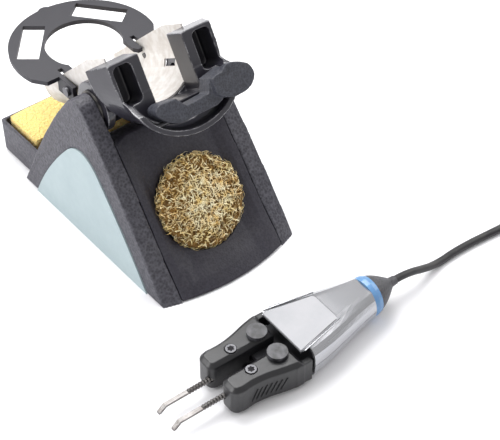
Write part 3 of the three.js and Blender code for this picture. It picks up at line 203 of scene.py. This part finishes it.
def build_brush_group():
    """Long fine lines left by brushing or rolling, along the local X axis."""
    tree, given, out = start_group("brushed_lines", [("Scale", 600.0), ("Length", 0.04)], ["Lines"])
    place = place_of(tree)
    across = node(tree, "ShaderNodeCombineXYZ", {"X": given["Length"], "Y": 1.0, "Z": 1.0})[0]
    stretched = node(tree, "ShaderNodeVectorMath", {0: place, 1: across}, operation="MULTIPLY")[0]
    lines = node(tree, "ShaderNodeTexNoise", {"Vector": stretched, "Scale": given["Scale"], "Detail": 3.0})[0]
    tree.links.new(ramp(tree, lines, 0.3, 0.7), out["Lines"])


for build in (build_tone_group, build_grain_group, build_wear_and_highlight_group, build_dust_group, build_brush_group):
    build()


def use_group(tree, name, **values):
    made = tree.nodes.new("ShaderNodeGroup")
    made.node_tree = GROUPS[name]
    for key, value in values.items():
        made.inputs[key].default_value = value
    return made.outputs


# ---------- materials ----------

def linear(red, green, blue):
    """A colour given from 0 to 255 as Blender's linear RGBA."""
    def one(value):
        value /= 255.0
        return value / 12.92 if value <= 0.04045 else ((value + 0.055) / 1.055) ** 2.4
    return (one(red), one(green), one(blue), 1.0)


def blend_colour(tree, share, a, b):
    made = node(tree, "ShaderNodeMix", {"Factor": share}, data_type="RGBA")
    mixer = made[0].node
    for index, value in ((6, a), (7, b)):
        if isinstance(value, bpy.types.NodeSocket):
            tree.links.new(value, mixer.inputs[index])
        else:
            mixer.inputs[index].default_value = value
    return mixer.outputs[2]


class Finish:
    """A material under way: its tree, its shader and the surface's colour, roughness and height so far."""

    def __init__(self, name, colour, roughness, metallic=0.0):
        self.material = bpy.data.materials.new(name)
        self.material.use_nodes = True
        self.tree = self.material.node_tree
        self.shader = self.tree.nodes["Principled BSDF"]
        self.colour = linear(*colour)
        self.roughness = roughness
        self.height = None
        self.shader.inputs["Metallic"].default_value = metallic
        self.material.diffuse_color = self.colour

    def set(self, **values):
        for key, value in values.items():
            self.shader.inputs[key.replace("_", " ")].default_value = value
        return self

    def tint(self, share, colour):
        self.colour = blend_colour(self.tree, share, self.colour, linear(*colour))
        return self

    def add_height(self, value, amount):
        scaled = maths(self.tree, "MULTIPLY", value, amount)
        self.height = scaled if self.height is None else maths(self.tree, "ADD", self.height, scaled)
        return self

    def shift_roughness(self, value, amount):
        self.roughness = maths(self.tree, "ADD", self.roughness, maths(self.tree, "MULTIPLY", value, amount))
        return self

    def tone(self, colour, scale=40.0, roughness=0.06):
        tone = use_group(self.tree, "cloudy_tone", Scale=scale)["Tone"]
        self.tint(tone, colour)
        return self.shift_roughness(tone, roughness)

    def grain(self, height, scale=900.0, pits=None):
        made = use_group(self.tree, "mould_grain", Scale=scale)
        if pits:
            self.tint(made["Pits"], pits)
        return self.add_height(made["Height"], height)

    def brushed(self, colour, height=0.00002, scale=600.0, length=0.04):
        lines = use_group(self.tree, "brushed_lines", Scale=scale, Length=length)["Lines"]
        self.tint(lines, colour)
        self.shift_roughness(lines, 0.1)
        return self.add_height(lines, height)

    # Tints convex edges: real rubbed wear on some parts, a painted edge highlight on others.
    def edge_wear_and_highlight(self, colour, amount=0.5):
        return self.tint(use_group(self.tree, "rubbed_edge_and_highlight", Amount=amount)["Mask"], colour)

    def dusty(self, colour=(170, 168, 162), amount=0.25):
        mask = use_group(self.tree, "settled_dust", Amount=amount)["Mask"]
        self.tint(mask, colour)
        return self.shift_roughness(mask, 0.25)

    def done(self):
        tree, shader = self.tree, self.shader
        for key, value in (("Base Color", self.colour), ("Roughness", self.roughness)):
            if isinstance(value, bpy.types.NodeSocket):
                tree.links.new(value, shader.inputs[key])
            else:
                shader.inputs[key].default_value = value
        if self.height is not None:
            normal = node(tree, "ShaderNodeBump", {"Height": self.height, "Distance": 1.0})["Normal"]
            tree.links.new(normal, shader.inputs["Normal"])
        return self.material


STAND_PLASTIC = (Finish("stand_plastic", (48, 47, 55), 0.5)
                 .tone((42, 41, 49)).grain(0.00034, 620.0, (80, 79, 87)).dusty(amount=0.06).done())
# The front cover is the stand plastic made darker: painted shade on the front faces that the lamps leave
# unlit.
COVER_PLASTIC_SHADED = (Finish("cover_plastic_shaded", (38, 36, 46), 0.5)
                 .tone((33, 31, 41)).grain(0.0002, 800.0, (50, 48, 58)).dusty(amount=0.04).done())
MINT_PLASTIC = (Finish("mint_panel_plastic", (162, 177, 180), 0.48)
                .tone((156, 171, 175)).grain(0.00004, 1400.0).done())
# The near-white convex edges of the cradle are a painted highlight.
CRADLE_PLASTIC = (Finish("cradle_plastic", (44, 43, 51), 0.28)
                  .tone((38, 37, 45)).grain(0.00002, 900.0).edge_wear_and_highlight((215, 215, 220), 0.9)
                  .set(Coat_Weight=0.5, Coat_Roughness=0.1).done())
LEVER_RUBBER = (Finish("lever_rubber", (46, 47, 55), 0.45)
                .tone((38, 39, 46)).grain(0.0002, 900.0, (66, 68, 77)).dusty(amount=0.06).done())
ARM_PLASTIC = (Finish("arm_plastic", (30, 30, 33), 0.36)
               .tone((24, 24, 27)).grain(0.00005, 1300.0).edge_wear_and_highlight((100, 100, 106), 0.5)
               .set(Coat_Weight=0.15, Coat_Roughness=0.25).done())
FOOT_RUBBER = Finish("foot_rubber", (38, 38, 40), 0.8).tone((28, 28, 30)).grain(0.0001, 700.0).done()
CUP_PLASTIC = (Finish("cup_plastic", (30, 29, 34), 0.5)
               .tone((22, 21, 26)).grain(0.00008, 900.0).done())
MAGAZINE_PLASTIC = (Finish("magazine_plastic", (38, 37, 44), 0.5)
                    .tone((35, 34, 41), 12.0).grain(0.00003, 1300.0).done())
GUARD_METAL = (Finish("guard_sheet_metal", (208, 203, 198), 0.5, 0.25)
               .tone((202, 197, 191), 25.0).brushed((206, 201, 196), 0.000003, 700.0)
               .edge_wear_and_highlight((240, 240, 240), 0.5).done())
STEEL = (Finish("machined_steel", (104, 104, 107), 0.42, 1.0)
         .tone((92, 92, 96), 90.0).brushed((126, 126, 129), 0.00001, 1500.0).done())
PLATE_STEEL = (Finish("base_plate_steel", (150, 152, 155), 0.4, 0.9)
               .tone((132, 134, 138)).brushed((165, 167, 170)).done())
WASHER = (Finish("dark_washer", (62, 60, 62), 0.45, 0.4)
          .tone((52, 50, 54), 90.0).grain(0.00003, 1500.0).edge_wear_and_highlight((150, 146, 140), 0.4).done())
BRASS = (Finish("brass_turnings", (255, 230, 150), 0.22, 0.45)
         .tone((232, 182, 96), 90.0).tone((255, 248, 212), 260.0).done())
WOOL_SHADE = (Finish("wool_shade", (146, 110, 54), 0.5, 0.6)
              .tone((84, 60, 26), 300.0).grain(0.0006, 500.0).done())
SILVER = (Finish("silver_shell", (176, 177, 181), 0.2, 0.8)
          .tone((168, 169, 173), 30.0).grain(0.000001, 2600.0)
          .set(Coat_Weight=0.6, Coat_Roughness=0.06).done())
LABEL_FILM = (Finish("label_film", (176, 176, 180), 0.5)
              .tone((170, 171, 175), 60.0).grain(0.00001, 1500.0).done())
BOARD = Finish("circuit_board", (34, 104, 62), 0.4).tone((24, 84, 48), 200.0).grain(0.00008, 800.0).done()
COLLAR_BLUE = (Finish("collar_blue", (106, 152, 196), 0.32)
               .tone((92, 138, 186), 80.0).grain(0.00001, 1600.0)
               .set(Subsurface_Weight=0.15, Subsurface_Scale=0.002, Coat_Weight=0.3).done())
CAP_RUBBER = (Finish("end_cap_rubber", (52, 52, 56), 0.45)
              .tone((56, 56, 60), 60.0).grain(0.00006, 1200.0, (76, 76, 80)).dusty(amount=0.08).done())
# Near-black for the screw sockets: painted shade inside the six-lobed holes.
SCREW_SHADOW = (Finish("screw_socket_shade", (34, 33, 36), 0.5, 0.8)
                .tone((24, 23, 26), 300.0).grain(0.00002, 2000.0).done())
SEAM_DARK = (Finish("body_groove", (58, 58, 62), 0.5, 0.3)
             .tone((46, 46, 50), 200.0).grain(0.00002, 1500.0).done())
CORD_RUBBER = (Finish("cord_jacket", (36, 36, 39), 0.42)
               .tone((28, 28, 31), 70.0).grain(0.00003, 1500.0).dusty(amount=0.12).done())
TIP_METAL = (Finish("plated_tip", (112, 109, 107), 0.3, 1.0)
             .tone((78, 72, 68), 180.0).brushed((140, 138, 137), 0.00002, 1600.0).done())


def sponge_material():
    """Yellow cellulose foam: open cells of several sizes, warmer and darker down the sides."""
    made = Finish("sponge_foam", (252, 220, 128), 0.9)
    tree = made.tree
    place = place_of(tree)
    height = node(tree, "ShaderNodeSeparateXYZ", {0: place})["Z"]
    made.tint(ramp(tree, height, 0.029, 0.018), (238, 172, 84))
    for scale, depth, colour in ((420.0, 0.0006, (236, 190, 96)), (1100.0, 0.0003, (255, 236, 166))):
        cells = node(tree, "ShaderNodeTexVoronoi", {"Vector": place, "Scale": scale})["Distance"]
        rim = ramp(tree, cells, 0.25, 0.6)
        made.tint(maths(tree, "MULTIPLY", rim, 0.4), colour)
        made.add_height(rim, depth)
    made.tone((255, 228, 140), 60.0)
    return made.set(Sheen_Weight=0.2, Subsurface_Weight=0.1, Subsurface_Scale=0.003).done()


SPONGE_FOAM = sponge_material()

# ---------- pieces: shared ways of making them ----------

BODY_OF = {name: body for body, names in frame["record"]["behaviour"]["bodies"].items() for name in names}


def wear_material(obj, material):
    obj.data.materials.clear()
    obj.data.materials.append(material)


def smooth_by_angle(mesh, degrees=32.0):
    mesh.polygons.foreach_set("use_smooth", [True] * len(mesh.polygons))
    mesh.set_sharp_from_angle(angle=math.radians(degrees))


def new_piece(name, mesh, material, body, replaced=()):
    piece = bpy.data.objects.new(name, mesh)
    bpy.context.scene.collection.objects.link(piece)
    wear_material(piece, material)
    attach(piece, body)
    if replaced:
        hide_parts(*replaced)
    return piece


def settle(piece):
    """Applies the piece's modifiers to its mesh."""
    graph = bpy.context.evaluated_depsgraph_get()
    mesh = bpy.data.meshes.new_from_object(piece.evaluated_get(graph))
    old = piece.data
    piece.modifiers.clear()
    piece.data = mesh
    mesh.name = piece.name
    bpy.data.meshes.remove(old)
    return mesh


def moulded(name, source, material, voxel, rounds, keep=1.0, shape=None):
    """A moulded piece from the CAD solid, with softly rounded edges; shape then moves its points."""
    mesh = frame["nodes"][source].data.copy()
    piece = new_piece(name, mesh, material, BODY_OF[source], (source,))
    fine = piece.modifiers.new("fine", "REMESH")
    fine.mode = "VOXEL"
    fine.voxel_size = voxel * MM
    soft = piece.modifiers.new("soft", "SMOOTH")
    soft.factor = 0.5
    soft.iterations = rounds
    mesh = settle(piece)
    if shape:
        for vertex in mesh.vertices:
            vertex.co = shape(vertex.co)
    if keep < 1.0:
        fewer = piece.modifiers.new("fewer", "DECIMATE")
        fewer.ratio = keep
        mesh = settle(piece)
    smooth_by_angle(mesh, 50.0)
    wear_material(piece, material)
    return piece


def carried(source, material, bevel=0.0):
    """A CAD node that stays, with its finish and finely broken edges."""
    obj = frame["nodes"][source]
    wear_material(obj, material)
    smooth_by_angle(obj.data)
    if bevel:
        edge = obj.modifiers.new("broken_edges", "BEVEL")
        edge.width = bevel * MM
        edge.segments = 2
        edge.limit_method = "ANGLE"
        edge.angle_limit = math.radians(40.0)
    return obj


# ---------- cord, coil and plug ----------

def cord_points():
    """The cord's centre line: straight out, down to the bench, along it and round the put-away coil."""
    rest = CORD_DIAMETER / 2 + 0.1
    coil_outer = COIL_MEAN_RADIUS + COIL_ROWS / 2 * CORD_DIAMETER
    outer_turn = coil_outer - CORD_DIAMETER / 2
    upper = rest + CORD_DIAMETER
    points = [from_hand(RELIEF_REAR + 0.3, 0, RELIEF_AXIS_HEIGHT),
              from_hand(RELIEF_REAR + 5, 0, RELIEF_AXIS_HEIGHT - 0.2)]
    run = [(77, -154.8, 11.3), (86, -154.7, 7.9), (95, -154.2, 4.5), (104.5, -153.6, rest),
           (116, -153.4, rest), (128, -153.9, rest), (141, -155.2, rest), (154, -156.6, rest),
           (165.34, -157.4, rest)]
    points += [Vector(p) for p in run]
    start = math.pi / 2
    half = COIL_TURNS / 2
    inner_turn = outer_turn - (COIL_ROWS - 1) * CORD_DIAMETER
    for i in range(1, int(COIL_TURNS * POINTS_A_TURN) + 1):
        turn = i / POINTS_A_TURN
        angle = start - turn * 2 * math.pi
        inward = turn / half if turn <= half else (COIL_TURNS - turn) / half
        radius = mix(outer_turn, inner_turn, smooth_step(0, 1, inward))
        height = mix(rest, upper, smooth_step(half - 0.3, half + 0.3, turn))
        x = COIL_CENTRE.x + radius * math.cos(angle)
        y = COIL_CENTRE.y + radius * math.sin(angle)
        points.append(Vector((x, y, height)))
    tail_start = COIL_CENTRE.y - 18.66
    for back, share in ((0, 0.15), (7, 0.6), (14, 1.0)):
        height = mix(upper, PLUG_AXIS_HEIGHT, share)
        points.append(Vector((COIL_CENTRE.x + outer_turn, tail_start - back, height)))
    return points


def make_cord():
    points = [p * MM for p in cord_points()]
    curve = bpy.data.curves.new("cord", "CURVE")
    curve.dimensions = "3D"
    curve.bevel_depth = CORD_DIAMETER / 2 * MM
    curve.bevel_resolution = 5
    curve.resolution_u = 6
    curve.use_fill_caps = True
    spline = curve.splines.new("BEZIER")
    spline.bezier_points.add(len(points) - 1)
    for knot, point in zip(spline.bezier_points, points):
        knot.co = point
        knot.handle_left_type = knot.handle_right_type = "AUTO"
    cord = bpy.data.objects.new("cord", curve)
    bpy.context.scene.collection.objects.link(cord)
    wear_material(cord, CORD_RUBBER)
    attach(cord, "handpiece")
    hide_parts("cord_run", "cord_coil", "cord_tail")
    return cord, points, sum((b - a).length for a, b in zip(points, points[1:]))


cord, cord_line, cord_length = make_cord()

# ---------- stage ----------

def make_stage():
    mesh = bpy.data.meshes.new("bench_top")
    mesh.from_pydata([(-6, -6, 0), (6, -6, 0), (6, 6, 0), (-6, 6, 0)], [], [(0, 1, 2, 3)])
    bench = bpy.data.objects.new("bench_top", mesh)
    bpy.context.scene.collection.objects.link(bench)
    made = Finish("bench_paper", (246, 246, 248), 0.85)
    wear_material(bench, made.tone((243, 243, 246), 2.0).done())
    world = bpy.data.worlds.new("studio")
    bpy.context.scene.world = world
    world.use_nodes = True
    back = world.node_tree.nodes["Background"]
    back.inputs["Color"].default_value = (1.0, 0.99, 0.985, 1.0)
    back.inputs["Strength"].default_value = 0.62
    lights = (
        ("high_softbox", (0.15, 0.5, 1.1), (0.0, -0.06, 0.05), 0.8, 15.0),
        ("side_softbox", (0.9, -0.2, 0.7), (0.0, -0.08, 0.05), 0.6, 3.5),
        ("left_softbox", (-0.9, 0.25, 0.6), (-0.02, -0.08, 0.05), 0.6, 7.0),
    )
    for name, place, aim, size, power in lights:
        data = bpy.data.lights.new(name, "AREA")
        data.shape = "SQUARE"
        data.size = size
        data.energy = power
        light = bpy.data.objects.new(name, data)
        bpy.context.scene.collection.objects.link(light)
        light.location = place
        light.rotation_euler = (Vector(aim) - Vector(place)).to_track_quat("-Z", "Y").to_euler()
    bpy.context.scene.view_settings.view_transform = "Standard"


make_stage()

# ---------- stand ----------

moulded("stand_housing", "stand_shell", STAND_PLASTIC, 0.8, 1, 0.4)
moulded("front_facing", "front_cover", COVER_PLASTIC_SHADED, 0.6, 1, 0.3)
for side in ("left", "right"):
    carried(f"{side}_side_panel", MINT_PLASTIC, 0.35)
    carried(f"{side}_friction_washer", WASHER)
    carried(f"{side}_pivot_pin", STEEL)
    carried(f"{side}_magazine_screw", STEEL, 0.15)
    for end in ("front", "rear"):
        carried(f"{end}_{side}_foot", FOOT_RUBBER, 0.2)
carried("base_plate", PLATE_STEEL)
for number in range(1, 5):
    carried(f"base_screw_{number}", STEEL, 0.15)
carried("wool_cup", CUP_PLASTIC, 0.2)
moulded("tray_moulding", "sponge_tray", STAND_PLASTIC, 0.8, 2, 0.4)
moulded("cradle_moulding", "cradle_body", CRADLE_PLASTIC, 0.55, 3, 0.6)
carried("tip_guard", GUARD_METAL, 0.1)
carried("tip_magazine", MAGAZINE_PLASTIC, 0.3)
moulded("rest_lever_moulding", "rest_lever", LEVER_RUBBER, 0.5, 4, 0.7)
carried("lever_pin", STEEL)


def make_sponge():
    low, high = (Vector(corner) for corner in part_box("sponge"))
    shape = bmesh.new()
    bmesh.ops.create_cube(shape, size=1.0)
    bmesh.ops.subdivide_edges(shape, edges=shape.edges[:], cuts=26, use_grid_fill=True)
    middle = (low + high) / 2
    size = high - low
    chance = random.Random(11)
    for vertex in shape.verts:
        at = vertex.co * 2.0
        steep = [abs(at[axis]) ** 8 for axis in range(3)]
        rounding = [1.0 - 0.018 * (steep[(axis + 1) % 3] + steep[(axis + 2) % 3]) for axis in range(3)]
        place = Vector([middle[axis] + at[axis] * rounding[axis] * size[axis] / 2 for axis in range(3)])
        place += Vector([chance.uniform(-0.12, 0.12) * MM for _ in range(3)])
        if at.z > 0.99:
            place.z -= (0.3 + 0.5 * abs(at.x) ** 3 + 0.3 * chance.random()) * MM
        vertex.co = place
    mesh = bpy.data.meshes.new("sponge_block")
    shape.to_mesh(mesh)
    shape.free()
    mesh.polygons.foreach_set("use_smooth", [True] * len(mesh.polygons))
    piece = new_piece("sponge_block", mesh, SPONGE_FOAM, "tray", ("sponge",))


make_sponge()


def make_wool():
    """Curled brass shavings packed into a ball, over a dark core that shades the gaps between them."""
    low, high = (Vector(corner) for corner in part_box("brass_wool"))
    chance = random.Random(7)
    outward = Vector((0.0, -math.sin(CUP_SLOPE), math.cos(CUP_SLOPE)))
    right = Vector((1.0, 0.0, 0.0))
    upward = right.cross(outward) * -1.0
    radius = (high.x - low.x) / 2 / MM
    core = frame["nodes"]["brass_wool"]
    ahead = max((core.matrix_world @ v.co).dot(outward) for v in core.data.vertices) / MM
    bulge = 9.0
    edge_lift = 2.2
    curls = 2400
    rim = Vector((0.0, (low.y + high.y) / 2, (low.z + high.z) / 2)) / MM
    rim += outward * (ahead - bulge - rim.dot(outward))
    shape = bmesh.new()
    for _ in range(curls):
        share = math.sqrt(chance.random())
        around = chance.uniform(0, 2 * math.pi)
        across = share * radius
        dome = math.sqrt(max(0.0, 1 - share ** 2))
        lift = edge_lift + (bulge - edge_lift) * dome - chance.uniform(-0.5, 1.2)
        centre = rim + right * (across * math.cos(around)) + upward * (across * math.sin(around))
        centre += outward * lift
        turn_radius = chance.uniform(1.2, 3.0)
        pitch = chance.uniform(1.2, 3.0)
        width = chance.uniform(0.45, 0.85)
        turns = chance.uniform(0.5, 1.2)
        spin = Matrix.Rotation(chance.uniform(0, math.pi), 3, outward)
        tilt = Matrix.Rotation(chance.uniform(-0.8, 0.8), 3, right)
        axis_frame = spin @ tilt
        steps = int(9 * turns) + 2
        rows = []
        for i in range(steps + 1):
            angle = turns * 2 * math.pi * i / steps
            local = Vector((turn_radius * math.cos(angle), turn_radius * math.sin(angle),
                            pitch * (i / steps - 0.5) * turns))
            flare = 0.25 * width
            edge = Vector((flare * math.cos(angle), flare * math.sin(angle), width))
            pair = []
            for shift in (edge * -0.5, edge * 0.5):
                place = centre + axis_frame @ (local + shift)
                depth = (place - rim).dot(outward)
                if depth > bulge + 0.4:
                    place -= outward * (depth - bulge - 0.4)
                pair.append(shape.verts.new(place * MM))
            rows.append(pair)
        for a, b in zip(rows, rows[1:]):
            shape.faces.new((a[0], a[1], b[1], b[0]))
    mesh = bpy.data.meshes.new("wool_curls")
    shape.to_mesh(mesh)
    shape.free()
    mesh.polygons.foreach_set("use_smooth", [True] * len(mesh.polygons))
    piece = new_piece("wool_curls", mesh, BRASS, "wool_holder")
    thick = piece.modifiers.new("thick", "SOLIDIFY")
    thick.thickness = 0.06 * MM
    settle(piece)
    wear_material(core, WOOL_SHADE)


make_wool()

# ---------- handpiece ----------

for source, material, bevel in (
    ("upper_body_shell", SILVER, 0.0), ("lower_body_shell", SILVER, 0.0), ("label_plate", LABEL_FILM, 0.12),
    ("circuit_board", BOARD, 0.1), ("blue_collar", COLLAR_BLUE, 0.0), ("end_cap", CAP_RUBBER, 0.0),
    ("strain_relief", CAP_RUBBER, 0.0), ("pivot_frame", SEAM_DARK, 0.15), ("arm_spring", STEEL, 0.0),
    ("coil_tie", FOOT_RUBBER, 0.15), ("plug_shell", CAP_RUBBER, 0.0), ("plug_ring", STEEL, 0.2),
    ("plug_insert", CUP_PLASTIC, 0.2),
):
    carried(source, material, bevel)
for side in ("left", "right"):
    moulded(f"{side}_arm_moulding", f"{side}_grip_arm", ARM_PLASTIC, 0.45, 3, 0.7)
    carried(f"{side}_arm_pivot", ARM_PLASTIC, 0.3)
    carried(f"{side}_clamp_screw", STEEL, 0.1)
    carried(f"{side}_tip_sleeve", TIP_METAL)
    carried(f"{side}_tip_blade", TIP_METAL, 0.15)


def mesh_piece(name, shape, material, body):
    mesh = bpy.data.meshes.new(name)
    shape.normal_update()
    shape.to_mesh(mesh)
    shape.free()
    smooth_by_angle(mesh, 30.0)
    return new_piece(name, mesh, material, body)


def screw_stars():
    """A thin dark star level with each clamp screw's head, painted shade standing for its six-lobed socket.
    """
    rim_points = 24
    for side, sign in (("left", 1), ("right", -1)):
        shape = bmesh.new()
        head = from_hand(-18.3, sign * 9.4, 22.02)
        rim = []
        for i in range(rim_points):
            angle = 2 * math.pi * i / rim_points
            radius = 1.9 + 0.36 * math.cos(6 * angle)
            reach = Vector((radius * math.cos(angle), radius * math.sin(angle), 0))
            rim.append(shape.verts.new((head + reach) * MM))
        face = shape.faces.new(rim)
        underside = bmesh.ops.extrude_face_region(shape, geom=[face])["geom"]
        for vertex in underside:
            if isinstance(vertex, bmesh.types.BMVert):
                vertex.co.z -= 0.06 * MM
        mesh_piece(f"{side}_screw_star", shape, SCREW_SHADOW, f"{side}_arm")


screw_stars()


def block(shape, matrix, size):
    bmesh.ops.create_cube(shape, size=1.0, matrix=matrix @ Matrix.Diagonal((*size, 1.0)))


def arm_ribs():
    """Slanting ribs moulded on the outer side of each arm for the fingers."""
    first, spacing, count = -22.0, 3.0, 7
    for side, sign in (("left", 1), ("right", -1)):
        arm = frame["nodes"][f"{side}_grip_arm"]
        corners = [arm.matrix_world @ vertex.co for vertex in arm.data.vertices]
        surface = BVHTree.FromPolygons(corners, [face.vertices[:] for face in arm.data.polygons])
        inward = HAND.to_3x3() @ Vector((0, -sign, 0))
        shape = bmesh.new()
        for number in range(count):
            start = from_hand(first + number * spacing, sign * 40, 10.4) * MM
            spot, outward, _, _ = surface.ray_cast(start, inward)
            along = outward.cross(Vector((0, 0, 1))).normalized()
            upward = (Vector((0, 0, 1)) + 0.5 * along * sign).normalized()
            across = upward.cross(outward).normalized()
            place = Matrix((across, outward, upward)).transposed().to_4x4()
            place.translation = spot
            block(shape, place @ Matrix.Diagonal((MM, MM, MM, 1.0)), (1.1, 1.0, 9.0))
        bmesh.ops.bevel(shape, geom=shape.edges[:], offset=0.3 * MM, segments=2, affect="EDGES")
        mesh_piece(f"{side}_arm_ribs", shape, ARM_PLASTIC, f"{side}_arm")


arm_ribs()


def body_rails():
    """A raised rail and a fine dark strip, for the seam, on each side of the label."""
    for side, sign in (("left", 1), ("right", -1)):
        front = from_hand(11.5, sign * 18.4, FACET_HEIGHT)
        rear = from_hand(43.5, sign * 12.2, FACET_HEIGHT)
        along = rear - front
        turn = Matrix.Rotation(math.atan2(along.y, along.x), 4, "Z")
        for name, shift, wide, high, material, slot in (
            ("rail", 0.75, 0.8, 0.5, SILVER, "silver_shell"),
            ("seam", 0.05, 0.35, 0.16, SEAM_DARK, "silver_shell"),
        ):
            offset = turn @ Vector((0, sign * shift, high / 2 - 0.1))
            place = Matrix.Translation(((front + rear) / 2 + offset) * MM) @ turn
            shape = bmesh.new()
            block(shape, place, (along.length * MM, wide * MM, high * MM))
            bmesh.ops.bevel(shape, geom=shape.edges[:], offset=0.1 * MM, segments=2, affect="EDGES")
            mesh_piece(f"{side}_body_{name}", shape, material, "handpiece")


body_rails()
